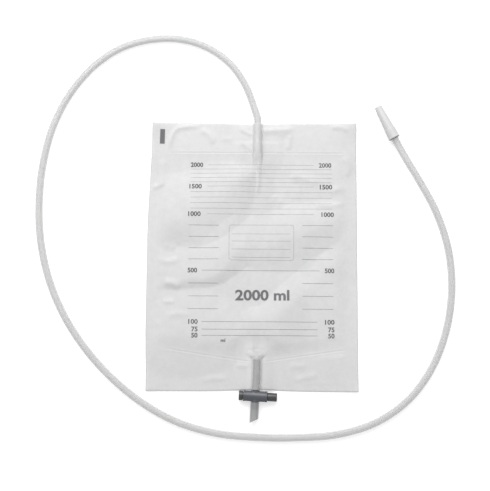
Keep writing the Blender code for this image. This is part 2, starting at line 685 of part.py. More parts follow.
def inlet_tube(material):
    """The long tube, plain and round, lying in its loop on the table."""
    points = smooth_line(route_points(), ROUTE_STEP)
    length = np.linalg.norm(np.diff(points, axis=0), axis=1).sum()
    curve = bpy.data.curves.new("inlet_tube", "CURVE")
    curve.dimensions = "3D"
    curve.bevel_depth = TUBE_R
    curve.bevel_resolution = 3
    curve.use_fill_caps = True
    spline = curve.splines.new("POLY")
    spline.points.add(len(points) - 1)
    spline.points.foreach_set("co", np.column_stack([points, np.ones(len(points))]).ravel())
    print(f"inlet tube {length * 1000:.0f} mm long, {len(points)} points")
    return put_in_scene("inlet_tube", curve, material)


def build():
    clear_scene()
    white_film = finish("white_film", (0.76, 0.77, 0.78), 0.45)
    clear_film = finish("frosted_film", (0.80, 0.81, 0.82), 0.35)
    clear_tube = finish("clear_tube", (0.70, 0.71, 0.73), 0.25)
    valve_grey = finish("valve_grey", (0.20, 0.22, 0.26), 0.40)
    plunger_grey = finish("plunger_grey", (0.14, 0.14, 0.15), 0.45)
    cap_white = finish("cap_white", (0.72, 0.73, 0.74), 0.40)

    film("back_film", table_lift, BACK_FILM, white_film)
    film("front_film", front_under, FRONT_FILM, clear_film)
    sleeve(clear_film)
    inlet_tube(clear_tube)
    outlet_tube(clear_tube)

    tap_centre = (float(outlet_x(-VALVE_DROP)), BAG_LOW - VALVE_DROP, OUTLET_Z)
    valve_place = carrier("valve_place", tap_centre, VALVE_TURN)
    valve_body(valve_grey, valve_place)
    valve_plunger(plunger_grey, valve_place)
    drain_spout(clear_tube, valve_place)

    cap_z = CAP_MOUTH_RADIUS + CAP_RIM
    cap_place = carrier("cap_place", (CAP_MOUTH[0], BAG_LOW + CAP_MOUTH[1], cap_z), CAP_HEADING)
    tube_connector(cap_white, cap_place)
    connector_cap(cap_white, cap_place)


build()
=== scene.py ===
# %% [markdown]
# # A urine drainage bag, dressed for its picture
#
# The bag holds two litres. Two PVC films are welded round their border, a long tube brings the urine
# in through the header, and a push-pull tap lets it out at the bottom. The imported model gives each
# piece its place, its size and its motion. This notebook makes what an eye looks for on top of that:
# film with its folds, welds and print, milky tubes, and satin moulded plastic.

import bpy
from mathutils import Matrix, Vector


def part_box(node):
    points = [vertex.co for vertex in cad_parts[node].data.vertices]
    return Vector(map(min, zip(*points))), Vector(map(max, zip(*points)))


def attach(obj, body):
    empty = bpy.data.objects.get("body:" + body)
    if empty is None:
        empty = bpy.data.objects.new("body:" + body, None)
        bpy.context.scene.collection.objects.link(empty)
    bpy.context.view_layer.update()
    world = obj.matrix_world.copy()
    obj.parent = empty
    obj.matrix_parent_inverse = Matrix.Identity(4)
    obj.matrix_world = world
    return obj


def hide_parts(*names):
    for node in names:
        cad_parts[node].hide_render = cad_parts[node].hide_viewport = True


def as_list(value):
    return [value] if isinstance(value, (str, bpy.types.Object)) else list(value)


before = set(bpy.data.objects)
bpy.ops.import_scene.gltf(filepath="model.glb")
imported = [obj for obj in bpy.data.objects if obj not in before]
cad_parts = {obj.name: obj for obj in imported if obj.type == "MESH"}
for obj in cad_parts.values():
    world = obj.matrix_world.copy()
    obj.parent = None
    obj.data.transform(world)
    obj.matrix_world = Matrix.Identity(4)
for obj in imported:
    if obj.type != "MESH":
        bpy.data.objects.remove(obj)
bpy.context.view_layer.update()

# %% Modules and the unit of the short measures
import math

import bmesh
import bpy
import numpy as np
from mathutils import Vector

MM = 0.001

# %% [markdown]
# ## Camera
#
# The picture is taken from nearly straight above, leaning a little towards the tap. A camera turned
# by nothing looks straight down with +Y up in the picture, so two small angles aim it: a tilt about X
# and a turn about Z. Its place and lens were found from the bag's four corners.

# %% Camera
CAMERA_PLACE = (-0.00635, -0.10931, 0.99094)
CAMERA_TILT = math.radians(7.717)
CAMERA_TURN = math.radians(0.336)
LENS_MM = 73.06


def linked(name, data):
    """A new object in the scene that shows this data."""
    made = bpy.data.objects.new(name, data)
    bpy.context.collection.objects.link(made)
    return made


camera_data = bpy.data.cameras.new("camera")
camera_data.lens = LENS_MM
camera_data.sensor_width = 36
camera_data.sensor_fit = "HORIZONTAL"
camera = linked("camera", camera_data)
camera.location = CAMERA_PLACE
camera.rotation_euler = (CAMERA_TILT, 0, CAMERA_TURN)
bpy.context.scene.camera = camera
bpy.context.scene.view_settings.view_transform = "Standard"

# %% [markdown]
# ## Materials as expressions
#
# A material is a net of nodes. Wiring them by hand hides the idea, so a small class wraps a socket
# and lets Python's own + - * build the Math nodes. Everything else, such as noise or a colour mix,
# comes from one method that takes a node's type, its settings and its inputs.

# %% A socket with arithmetic, and a material under construction
class Value:
    """A socket in a material. Arithmetic on it adds Math nodes."""

    def __init__(self, finish, socket):
        self.finish = finish
        self.socket = socket

    def math(self, operation, first, second):
        """A Math node between two numbers or sockets."""
        return self.finish.node("ShaderNodeMath", {"operation": operation}, {0: first, 1: second})

    def __add__(self, other):
        return self.math("ADD", self, other)

    def __sub__(self, other):
        return self.math("SUBTRACT", self, other)

    def __rsub__(self, other):
        return self.math("SUBTRACT", other, self)

    def __mul__(self, other):
        return self.math("MULTIPLY", self, other)

    __radd__ = __add__
    __rmul__ = __mul__


class Finish:
    """A material being made: the shader's plain settings, and nodes for what varies."""

    def __init__(self, name, **settings):
        self.material = bpy.data.materials.new(name)
        self.material.use_nodes = True
        self.tree = self.material.node_tree
        self.shader = self.tree.nodes["Principled BSDF"]
        for key, value in settings.items():
            self.set(key.replace("_", " ").title().replace("Ior", "IOR"), value)

    def put(self, socket, value):
        """Link a socket to a Value, or give it a plain value."""
        if isinstance(value, Value):
            self.tree.links.new(value.socket, socket)
        else:
            socket.default_value = value

    def set(self, name, value):
        """Give one of the shader's sockets a value or a link."""
        self.put(self.shader.inputs[name], value)

    def node(self, kind, settings, inputs, output=0):
        """Add a node, first with its settings and then its inputs. Returns one of its outputs."""
        made = self.tree.nodes.new(kind)
        for key, value in settings.items():
            setattr(made, key, value)
        for key, value in inputs.items():
            self.put(made.inputs[key], value)
        return Value(self, made.outputs[output])

    def noise(self, per_metre, detail=3, stretch=(1, 1, 1)):
        """Cloudy noise from 0 to 1, about 0.5 on average, with this many lumps in a metre.

        It follows the place on the piece, with each axis stretched for a directional pattern.
        """
        place = self.node("ShaderNodeTexCoord", {}, {}, output="Object")
        place = self.node("ShaderNodeMapping", {}, {"Vector": place, "Scale": stretch})
        inputs = {"Vector": place, "Scale": per_metre, "Detail": detail, "Roughness": 0.55}
        return self.node("ShaderNodeTexNoise", {}, inputs)

    def between(self, value, low, high, start=0.0, end=1.0):
        """The value's range from low to high, spread over start to end and held there."""
        inputs = {0: value, 1: low, 2: high, 3: start, 4: end}
        return self.node("ShaderNodeMapRange", {"clamp": True}, inputs)

    def blend(self, share, first, second):
        """A colour between two, by a share from 0 to 1. A single number is a grey."""
        first, second = ((c, c, c) if isinstance(c, float) else c for c in (first, second))
        inputs = {0: share, 6: (*first, 1), 7: (*second, 1)}
        return self.node("ShaderNodeMix", {"data_type": "RGBA"}, inputs, output=2)

    def bump(self, height, depth):
        """Let a height pattern tilt the surface's light, at this real depth in metres."""
        inputs = {"Height": height, "Distance": depth, "Strength": 1.0}
        self.set("Normal", self.node("ShaderNodeBump", {}, inputs))

    def surface(self, cloud, colours, rough, grain, spread=(0.2, 0.8)):
        """Colour by a cloud, roughness by a finer one, and a grain in the skin.

        The roughness is (lumps in a metre, least, most), the grain (lumps in a metre, detail, depth).
        """
        self.set("Base Color", self.blend(cloud, *colours))
        self.set("Roughness", self.between(self.noise(rough[0]), *spread, *rough[1:]))
        self.bump(self.noise(*grain[:2]), grain[2])

    def stored(self, name):
        """A number that is stored on the piece's vertices under this name."""
        return self.node("ShaderNodeAttribute", {"attribute_name": name}, {}, output="Fac")

    def levelness(self):
        """0 where the surface stands upright and 1 where it lies level."""
        facing = self.node("ShaderNodeTexCoord", {}, {}, output="Normal")
        upward = self.node("ShaderNodeSeparateXYZ", {}, {0: facing}, output="Z")
        return upward.math("ABSOLUTE", upward, 0)


# %% [markdown]
# ## Light, table and background
#
# The picture has a clean white ground, pale film that never clips, and brighter slopes on the header
# side. So one broad lamp stands beyond the header, the world fills the shadows, and the table adds
# white only to rays that come from the camera or through clear plastic: it doesn't light the object.

# %% Lamp, world and table
LAMP_PLACE = Vector((-0.2, 0.92, 1.02))
LAMP_AIM = Vector((0.0, 0.02, 0.0))
LAMP_WIDTH = 1.5
LAMP_DEPTH = 1.1
LAMP_WATTS = 16.0
WORLD_LEVEL = 0.52
TABLE_WHITE = 0.8
TABLE_LIFT = 0.5
TABLE_SIZE = 8.0
TABLE_DROP = 0.1 * MM

lamp_data = bpy.data.lights.new("soft_lamp", "AREA")
lamp_data.shape = "RECTANGLE"
lamp_data.size = LAMP_WIDTH
lamp_data.size_y = LAMP_DEPTH
lamp_data.energy = LAMP_WATTS
lamp = linked("soft_lamp", lamp_data)
lamp.location = LAMP_PLACE
lamp.rotation_euler = (LAMP_AIM - LAMP_PLACE).to_track_quat("-Z", "Y").to_euler()


def seen_directly(node):
    """1 for rays from the camera or through clear plastic, and 0 for rays that carry light."""
    kinds = ["Is Camera Ray", "Is Transmission Ray"]
    rays = [node("ShaderNodeLightPath", {}, {}, output=kind) for kind in kinds]
    return rays[0].math("MAXIMUM", rays[0], rays[1])


class World(Finish):
    """The world's own tree, with the same way of adding nodes."""

    def __init__(self):
        world = bpy.data.worlds.new("studio")
        world.use_nodes = True
        bpy.context.scene.world = world
        self.tree = world.node_tree


world = World()
background = world.tree.nodes["Background"]
background.inputs["Color"].default_value = (1, 1, 1, 1)
world.put(background.inputs["Strength"], seen_directly(world.node) * (1 - WORLD_LEVEL) + WORLD_LEVEL)

table_colour = (TABLE_WHITE,) * 3 + (1,)
table_finish = Finish("table_white", base_color=table_colour, roughness=0.9, specular_ior_level=0.0)
table_finish.set("Emission Color", (1, 1, 1, 1))
table_finish.set("Emission Strength", seen_directly(table_finish.node) * TABLE_LIFT)

table_mesh = bpy.data.meshes.new("table")
around = ((-1, -1), (1, -1), (1, 1), (-1, 1))
table_corners = [(x * TABLE_SIZE / 2, y * TABLE_SIZE / 2, -TABLE_DROP) for x, y in around]
table_mesh.from_pydata(table_corners, [], [(0, 1, 2, 3)])
table_mesh.materials.append(table_finish.material)
linked("table", table_mesh)

# %% [markdown]
# ## Surfaces from grids
#
# Each new piece is a grid of points worked out as whole arrays. A pipe wraps its grid both ways, a
# turned part spins a profile round an axis, and a film is a height over a net. These few helpers turn
# a grid into a mesh, merge what coincides, such as a pole, and point the faces outwards.

# %% From a grid of points to a piece
MERGE = 0.001 * MM
SHARP_FROM = math.radians(40)


def grid_faces(rows, columns, wrap_rows=False, wrap_columns=False):
    """Four-sided faces between neighbours of a grid; a wrapped direction joins its end to its start."""
    index = np.arange(rows * columns).reshape(rows, columns)
    if wrap_rows:
        index = np.vstack([index, index[:1]])
    if wrap_columns:
        index = np.hstack([index, index[:, :1]])
    corners = [index[:-1, :-1], index[:-1, 1:], index[1:, 1:], index[1:, :-1]]
    return np.stack(corners, -1).reshape(-1, 4)


def shell(outer, inner):
    """Points and faces of a pipe's wall: the outer wall's rings out and the inner wall's back."""
    walls = np.vstack([outer, inner[::-1]])
    return walls.reshape(-1, 3), grid_faces(*walls.shape[:2], wrap_rows=True, wrap_columns=True)


def new_piece(name, points, faces, finish):
    """An object of one material from its points and faces, shaded smooth."""
    mesh = bpy.data.meshes.new(name)
    mesh.from_pydata(points.tolist(), [], faces.tolist())
    mesh.shade_smooth()
    mesh.materials.append(finish.material)
    return linked(name, mesh)


def reshape(mesh, change):
    """Merge a mesh's points that coincide, then change it by a function of its bmesh."""
    shape = bmesh.new()
    shape.from_mesh(mesh)
    bmesh.ops.remove_doubles(shape, verts=shape.verts, dist=MERGE)
    change(shape)
    shape.to_mesh(mesh)
    shape.free()


def clean(shape):
    """Take out faces and edges of no size, and turn the faces outwards."""
    bmesh.ops.dissolve_degenerate(shape, edges=shape.edges, dist=MERGE / 2)
    bmesh.ops.recalc_face_normals(shape, faces=shape.faces)


def piece_from(name, part, finish):
    """An object from a part's points and faces, merged and cleaned, sharp only at real edges."""
    piece = new_piece(name, *part, finish)
    reshape(piece.data, clean)
    piece.data.set_sharp_from_angle(angle=SHARP_FROM)
    return piece


def points_of(mesh):
    """A mesh's points as an array with three columns."""
    flat = np.zeros(len(mesh.vertices) * 3)
    mesh.vertices.foreach_get("co", flat)
    return flat.reshape(-1, 3)


def worked_out(shown):
    """A mesh of an object as it stands, with its modifiers or its letters worked out."""
    bpy.context.view_layer.update()
    return bpy.data.meshes.new_from_object(shown.evaluated_get(bpy.context.evaluated_depsgraph_get()))


def dress(piece, body, node, slot):
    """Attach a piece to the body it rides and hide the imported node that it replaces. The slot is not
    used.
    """
    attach(piece, body)
    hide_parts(node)


def turned(points, angle, place):
    """Points turned about the upright axis by this angle, then moved to the place."""
    c, s = math.cos(angle), math.sin(angle)
    x, y, z = points.T
    return np.stack([x * c - y * s, x * s + y * c, z], 1) + np.array(place)


def smoothstep(x, start, end):
    """0 before start, 1 after end, and an even S between them."""
    t = np.clip((x - start) / (end - start), 0, 1)
    return t * t * (3 - 2 * t)


def hump(x, start, full, fade, end):
    """0 up to start, 1 from full to fade, and 0 again from end on."""
    return smoothstep(x, start, full) * (1 - smoothstep(x, fade, end))


# %% [markdown]
# ## The inlet tube
#
# The drainage tube is the object's longest piece: 1.2 m of soft, milky PVC that lies in one loop on
# the table, from inside the header to the capped connector. A curve through a few listed points, read
# again at even steps, gives the line that such a tube takes. The tube itself is a pipe with a bore,
# because light shows its wall.

# %% Sizes that the imported model is built to
BAG_WIDTH = 211 * MM
BAG_LENGTH = 271 * MM
BACK_FILM = 0.25 * MM
FRONT_FILM = 0.20 * MM
FILM_GAP = 0.3 * MM
LEAST_GAP = 0.08 * MM
SIDE_WELD = 6 * MM
HEADER_LINE = 240 * MM
VEE_WELD_LOW = 29 * MM
VEE_WELD_RISE = 0.155
PORT_OFFSET = 5 * MM
CLEARANCE = 0.3 * MM
TUBE_R = 3.6 * MM
TUBE_BORE = 2.5 * MM
TUBE_END = 241 * MM
OUTLET_R = 4.2 * MM
OUTLET_BORE = 3.2 * MM
OUTLET_INSIDE = 31 * MM
OUTLET_BEND = (8 * MM, 29 * MM)
SLEEVE_TOP = 250 * MM
SLEEVE_LENGTH = 74 * MM
SLEEVE_LOW = SLEEVE_TOP - SLEEVE_LENGTH
SLEEVE_WIDTH = 36 * MM
SLEEVE_WALL = 0.15 * MM
SLEEVE_MOUTH = 0.5 * MM
SLEEVE_PUFF = 0.9 * MM

valve_low, valve_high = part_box("valve_body")
VALVE_PLACE = (valve_low + valve_high) / 2
VALVE_TURN = math.radians(-3.1)
VALVE_DROP = 4.5 * MM
BAG_LOW = VALVE_PLACE.y + VALVE_DROP
OUTLET_Z = VALVE_PLACE.z
SLEEVE_FLOOR = BACK_FILM + CLEARANCE + SLEEVE_WALL
INLET_Z = SLEEVE_FLOOR + CLEARANCE + TUBE_R
CAP_MOUTH = (143.8 * MM, 255.3 * MM)
CAP_HEADING = math.radians(26.8)
CAP_Z = 6.0 * MM
TUBE_IN_CAP = 5 * MM
print(f"bag's lower edge at y {BAG_LOW * 1000:.2f} mm, tap at {[round(v * 1000, 2) for v in VALVE_PLACE]}")

# %% The route: x, up from the bag's lower edge, and height above the table, in mm
ROUTE_ON_TABLE = (
    (1.2, 287.4, 0.2), (-7.4, 309.8, 0), (-21.5, 331, 0), (-44.4, 348.8, 0), (-74.4, 358.6, 0),
    (-106.1, 358.1, 0), (-135.6, 349.2, 0), (-162, 331, 0), (-184, 305, 0), (-201.5, 271, 0),
    (-211.7, 231, 0), (-214.9, 190, 0), (-212.1, 149, 0), (-202.7, 110.4, 0), (-186.5, 74, 0),
    (-164.1, 40.9, 0), (-136.7, 11.8, 0), (-105.5, -12.5, 0), (-71.6, -30.2, 0), (-34.1, -40.5, 0),
    (5, -44.1, 0), (44.5, -44.2, 0), (83.2, -41.1, 0), (120.5, -30, 0), (153.6, -7.6, 0),
    (177.5, 23.7, 0), (192.2, 59.8, 0), (198.8, 99, 0), (196.9, 139.2, 0), (185.7, 178.3, 0),
    (167.3, 214.1, 0.5), (153.7, 237, 1.6),
)
TUBE_STEP = 2.2 * MM
TUBE_SIDES = 28


def route_points():
    """The tube's own points: straight out of the header, round the table and into the cap."""
    table_z = TUBE_R + 0.05 * MM
    heading = np.array([-math.sin(CAP_HEADING), math.cos(CAP_HEADING), 0])
    mouth = np.array([CAP_MOUTH[0], BAG_LOW + CAP_MOUTH[1], CAP_Z])
    straight = [TUBE_END, SLEEVE_TOP, BAG_LENGTH - 6 * MM, BAG_LENGTH + 3 * MM]
    points = [(PORT_OFFSET, BAG_LOW + up, INLET_Z) for up in straight]
    points += [(x * MM, BAG_LOW + up * MM, table_z + rise * MM) for x, up, rise in ROUTE_ON_TABLE]
    points += [mouth - heading * 0.8 * TUBE_R, mouth + heading * TUBE_IN_CAP]
    return np.array(points, float)


def evenly(line, spacing):
    """The same line with its points at even steps along it."""
    travel = np.concatenate([[0], np.cumsum(np.linalg.norm(np.diff(line, axis=0), axis=1))])
    even = np.linspace(0, travel[-1], max(2, round(travel[-1] / spacing) + 1))
    return np.stack([np.interp(even, travel, axis) for axis in line.T], 1)


def smooth_line(points, spacing):
    """A smooth curve through the points, read again at even steps along its length.

    Between two points it is a cubic whose ends follow the line between each point's neighbours.
    """
    gaps = np.linalg.norm(np.diff(points, axis=0), axis=1)
    knots = np.concatenate([[0], np.cumsum(gaps)])
    slopes = np.gradient(points, knots, axis=0)
    t = np.linspace(0, 1, 24, endpoint=False)[None, :, None]
    size = gaps[:, None, None]
    here, there = points[:-1, None], points[1:, None]
    out, back = slopes[:-1, None] * size, slopes[1:, None] * size
    curve = (2 * t ** 3 - 3 * t ** 2 + 1) * here + (t ** 3 - 2 * t ** 2 + t) * out
    curve = curve + (3 * t ** 2 - 2 * t ** 3) * there + (t ** 3 - t ** 2) * back
    return evenly(np.vstack([curve.reshape(-1, points.shape[1]), points[-1:]]), spacing)


def pipe(line, outer, inner, sides):
    """A pipe along a line, with its rings square to it."""
    ahead = np.gradient(line, axis=0)
    ahead = ahead / np.linalg.norm(ahead, axis=1, keepdims=True)
    side = np.cross(ahead, [0.0, 0.0, 1.0])
    side = side / np.linalg.norm(side, axis=1, keepdims=True)
    rise = np.cross(side, ahead)
    turn = np.arange(sides) * math.tau / sides
    spoke = side[:, None] * np.cos(turn)[None, :, None] + rise[:, None] * np.sin(turn)[None, :, None]
    return shell(line[:, None] + spoke * outer, line[:, None] + spoke * inner)


# %% [markdown]
# The tube's PVC is cloudy. Each wall hides a part of what lies behind it: more at the tube's sides,
# where the wall stands upright and is seen along its depth, and less on top. The cloud is slightly
# uneven along the tube, and its skin is a little rough from the die that it was drawn through.

# %% Milky tube finish
milky_pvc = Finish("milky_pvc", ior=1.45)
milky_pvc.set("Alpha", milky_pvc.between(milky_pvc.levelness(), 0.1, 0.75, 0.7, 0.34))
milky_pvc.surface(milky_pvc.noise(30, 2), (0.75, 0.81), (420, 0.26, 0.36), (160, 2, 0.015 * MM))

# %% The tube itself
tube_line = smooth_line(route_points(), TUBE_STEP)
tube_length = float(np.linalg.norm(np.diff(tube_line, axis=0), axis=1).sum())
drainage_tube = piece_from("drainage_tube", pipe(tube_line, TUBE_R, TUBE_BORE, TUBE_SIDES), milky_pvc)
print(f"tube {tube_length * 1000:.0f} mm long, {len(tube_line)} rings")
dress(drainage_tube, "bag", "inlet_tube", "clear_tube")

# %% [markdown]
# ## The films' shape
#
# An empty bag isn't flat. The front film is tented over both tubes, and its slack gathers in long
# folds that cross it from lower left to upper right. Each fold is a crest line with two flanks, one
# towards the header and one towards the tap, of their own widths. The heights add up over the back
# film, so the films never cross.

# %% Heights of the films
PILLOW = 1.0 * MM
PILLOW_EDGE = 16 * MM
HEADER_EDGE = 29 * MM
CREASE = 0.4 * MM
POCKET_START = 1.2
POCKET_HALF_WIDTH = 2.2
POCKET_OPENS = 2.0
POCKET_DEPTH = 2.8
POCKET_ROUND = 1.5
VEE_ROUND = 10 * MM
TENT_SLOPE = math.radians(84)
HUG = 0.15 * MM
CORNER_CURLS = ((-1, 1, 3.4, 34), (1, 1, 4.0, 36), (-1, 0, 1.2, 26), (1, 0, 1.6, 26))


def outlet_x(up):
    """Sideways place of the outlet tube: straight in the pouch, bent onto the tap's axis at the edge."""
    low, high = OUTLET_BEND
    bent = (high - np.clip(up, low, high)) ** 2 / (2 * (high - low)) + np.maximum(low - up, 0)
    return PORT_OFFSET + math.tan(VALVE_TURN) * bent


def blunt(away, radius):
    """The distance from a crest, with a round of this radius in place of the sharp crest."""
    return np.sqrt(away ** 2 + radius ** 2) - radius


def either(a, b):
    """The higher of two heights, with the crease between them rounded."""
    return (a + b + np.sqrt((a - b) ** 2 + CREASE ** 2)) / 2


def tent(across, radius, axis_height):
    """Height of a film laid over a round of this radius: an arc, then a straight run down."""
    reach = radius * math.sin(TENT_SLOPE)
    shoulder = axis_height + radius * math.cos(TENT_SLOPE)
    arc = axis_height + np.sqrt(np.maximum(radius ** 2 - np.minimum(across, reach) ** 2, 0))
    return np.where(across < reach, arc, shoulder - (across - reach) * math.tan(TENT_SLOPE))


def vee_weld(x):
    """How far up the lower weld runs: a shallow V with a round bottom at the outlet."""
    return VEE_WELD_LOW + VEE_WELD_RISE * blunt(x - PORT_OFFSET, VEE_ROUND)


def table_lift(x, up):
    """Height of the back film's underside: zero but for the curled corners and the outlet."""
    lift = np.zeros(np.shape(x))
    for side, end, height, reach in CORNER_CURLS:
        away = np.hypot(x - side * BAG_WIDTH / 2, up - end * BAG_LENGTH)
        lift = lift + height * MM * np.maximum(0, 1 - away / (reach * MM)) ** 2
    across = np.abs(x - outlet_x(up))
    hold = OUTLET_R + CLEARANCE
    under = OUTLET_Z - np.sqrt(np.maximum(hold ** 2 - across ** 2, 0)) - BACK_FILM
    wing_at = 1.35 * OUTLET_R
    wing = 0.5 * OUTLET_Z * (1 - smoothstep(across, wing_at, 5 * OUTLET_R))
    cradle = np.where(across < wing_at, np.minimum(under, wing), wing)
    return lift + cradle * (1 - smoothstep(up, 0.9 * OUTLET_INSIDE, 1.9 * OUTLET_INSIDE))


def pouch_share(x, up):
    """0 on the welds and 1 well inside the pouch."""
    side = BAG_WIDTH / 2 - SIDE_WELD - np.abs(x)
    inside = smoothstep(side, 0, PILLOW_EDGE) * smoothstep(up - vee_weld(x), 0, PILLOW_EDGE)
    return inside * smoothstep(HEADER_LINE - up, 0, HEADER_EDGE)


def over_inlet(x, up, stand):
    """Height of a film that stands this far off the inside of the sleeve: round, then flat."""
    across = np.abs(x - PORT_OFFSET)
    over_tube = tent(across, TUBE_R + HUG + stand, INLET_Z)
    share = smoothstep(up, SLEEVE_LOW + 0.675 * SLEEVE_LENGTH, TUBE_END - 0.4 * MM)
    flat = SLEEVE_FLOOR + SLEEVE_MOUTH + stand
    puff = SLEEVE_PUFF * (1 - smoothstep(across, 0, SLEEVE_WIDTH / 2))
    return share * np.maximum(over_tube, flat) + (1 - share) * (flat + puff)


# %% [markdown]
# A fold is written as its crest, points listed from left to right in millimetres: x, up, height, and
# the widths of its flanks on the header's side and on the tap's side. Then come the fullness of the
# two flanks and how round the crest is. A wrinkle is plainer: one height and two widths all along.
# The broad arch round the outlet's pocket and the crease down the sleeve are wrinkles too.

# %% Folds, wrinkles and creases
FOLDS = (
    ((
        (-113, 157, 1.2, 36, 10), (-98, 161, 2.2, 44, 15), (-81, 168, 3.1, 46, 22), (-57, 177, 3.5, 42, 29),
        (-37, 188, 3.9, 40, 28), (-21, 201, 4.2, 36, 26), (-10, 214, 4.0, 26, 15),
        (-3, 226, 2.9, 13, 8), (1, 236, 0, 8, 4),
    ), (0.5, 0.8), 5),
    ((
        (-113, 107, 0.8, 34, 5), (-95, 107, 1.2, 34, 5), (-84, 108, 1.4, 34, 6), (-59, 112, 2.4, 33, 8),
        (-38, 115, 3.0, 33, 9), (-25, 127, 3.2, 30, 13), (-15, 139, 3.0, 30, 17), (-4, 144, 2.8, 34, 19),
        (19, 144, 2.8, 38, 24), (36, 151, 3.4, 34, 32), (46, 155, 3.6, 32, 32), (56, 159, 3.6, 30, 25),
        (77, 168, 2.6, 22, 18), (88, 175, 1.2, 16, 14), (98, 184, 0, 8, 8),
    ), (0.8, 0.6), 2.5),
    ((
        (-16, 60, 0, 13, 30), (4, 66, 1.6, 15, 40), (23, 70, 2.6, 18, 46), (40, 85, 3.0, 20, 50),
        (60, 101, 3.0, 21, 50), (77, 119, 2.0, 18, 48), (90, 130, 0.9, 14, 44), (98, 138, 0, 10, 40),
    ), (0.6, 0.3), 3),
    ((
        (18, 226, 0, 10, 24), (34, 229, 0.4, 20, 34), (52, 229, 0.6, 22, 40), (74, 225, 0.6, 20, 40),
        (96, 214, 0.3, 14, 28), (108, 206, 0, 10, 20),
    ), (0.0, 0.2), 3),
)
SKIRT_FOLDS = (
    ((
        (-106, 46, 1.4, 30, 22), (-84, 48, 2.4, 38, 28), (-60, 50, 2.8, 42, 30), (-38, 52, 2.4, 40, 28),
        (-18, 54, 1.0, 30, 20), (-4, 54, 0, 20, 12),
    ), (0.5, 0.8), 8),
)
WRINKLES = (
    (((-103, 119), (-90, 118)), 0.7, 5, 4, 0.5),
    (((-90, 108), (-80, 106), (-70, 102)), 1.1, 6, 5, 0.6),
    (((-90, 88), (-76, 88)), 0.6, 4, 3.5, 0.5),
    (((-104, 67), (-90, 66)), 0.7, 5, 4, 0.5),
    (((-90, 144), (-76, 142)), 0.8, 6, 4, 0.6),
    (((-98, 132), (-84, 128), (-72, 131)), 0.7, 5, 5, 0.6),
    (((-86, 73), (-72, 76), (-60, 74)), 0.5, 5, 5, 0.6),
    (((20, 196), (27, 190), (25, 182)), 0.8, 5, 5, 0.8),
    (((34, 216), (52, 214), (70, 206)), 0.8, 8, 6, 1.0),
    (((30, 244), (46, 242), (62, 236)), 0.9, 4, 4, 0.6),
    (((76, 198), (90, 203), (98, 200)), 0.7, 6, 4, 0.6),
    (((60, 188), (80, 186), (98, 190)), 0.7, 6, 5, 0.8),
)
HEADER_CREASES = (
    (((-87, 240), (-86, 253), (-81, 264), (-69, 267), (-54, 267)), 1.2, 4, 4, 0.5),
    (((-56, 265), (-46, 259), (-40, 248)), 1.0, 5, 5, 0.8),
    (((-94, 236), (-93, 220), (-94, 204)), 1.0, 5, 5, 0.8),
    (((-103, 203), (-90, 208)), 0.9, 5, 4, 0.5),
    (((-16, 267), (-7, 262), (2, 258)), 1.5, 5, 4, 0.5),
    (((-15, 252), (-7, 247), (2, 241)), 1.5, 4, 3, 0.4),
    (((3, 263.5), (12, 264), (26, 264.5), (44, 265)), 1.9, 4, 10, 1.2),
    (((36, 242), (37, 251), (38, 260)), 0.9, 4, 4, 0.8),
    (((78, 267), (90, 267), (100, 262)), 1.0, 4, 4, 0.5),
    (((-34, 254), (-20, 255)), 0.4, 4, 4, 0.6),
    (((93, 239), (97, 228), (96, 214)), 0.9, 5, 5, 0.8),
)
POCKET_ARCH = (
    (((-34, 44), (-15, 54), (4, 58), (22, 54), (40, 42)), 1.5, 36, 10, 3),
)
SLEEVE_CREASES = (
    (((6.8, 238), (6.5, 226), (6, 212), (5.2, 194)), 1.1, 3, 2.4, 0.5),
)
SKIRT_CREASES = (
    (((-16, 25), (-9, 26), (-2, 24)), 0.8, 5, 4, 0.5),
    (((36, 25), (46, 25), (56, 25)), 0.7, 5, 4, 0.5),
    (((40, 10), (52, 13), (68, 17)), 0.9, 6, 4, 0.5),
    (((-52, 10), (-38, 12), (-22, 12)), 0.7, 5, 4, 0.5),
    (((64, 36), (84, 33), (98, 36)), 0.6, 8, 8, 1.5),
    (((42, 8), (66, 8.4), (92, 8.4)), 0.35, 1.6, 1.6, 0.2),
)


def crest_place(x, up, line):
    """The distance from a crest line, which side of it a point is on, and how far along, 0 to 1."""
    best = np.full(np.shape(x), 1.0)
    side = np.ones(np.shape(x))
    along = np.zeros(np.shape(x))
    count = len(line) - 1
    for number, ((x0, y0), (x1, y1)) in enumerate(zip(line, line[1:])):
        dx, dy = x1 - x0, y1 - y0
        t = np.clip(((x - x0) * dx + (up - y0) * dy) / (dx * dx + dy * dy), 0, 1)
        away = np.hypot(x - x0 - t * dx, up - y0 - t * dy)
        nearer = away < best
        best = np.where(nearer, away, best)
        side = np.where(nearer, np.sign(dx * (up - y0) - dy * (x - x0)), side)
        along = np.where(nearer, (number + t) / count, along)
    return best, side, along


def folds_height(x, up, folds):
    """Heights of the broad folds, added up.

    On a flank, u is the distance from the crest over the flank's width. A full flank falls as
    1 - u ** 1.6 and a hollow one as (1 - u) ** 1.5, and its fullness blends the two.
    """
    total = np.zeros(np.shape(x))
    for points, (full_above, full_below), crest_round in folds:
        crest = smooth_line(np.array(points, float) * MM, 4 * MM)
        away, side, along = crest_place(x, up, crest[:, :2])
        share = np.linspace(0, 1, len(crest))
        height, above, below = (np.interp(along, share, column) for column in crest.T[2:])
        u = np.minimum(blunt(away, crest_round * MM) / np.where(side > 0, above, below), 1)
        full = np.where(side > 0, full_above, full_below)
        total = total + height * (full * (1 - u ** 1.6) + (1 - full) * (1 - u) ** 1.5)
    return total


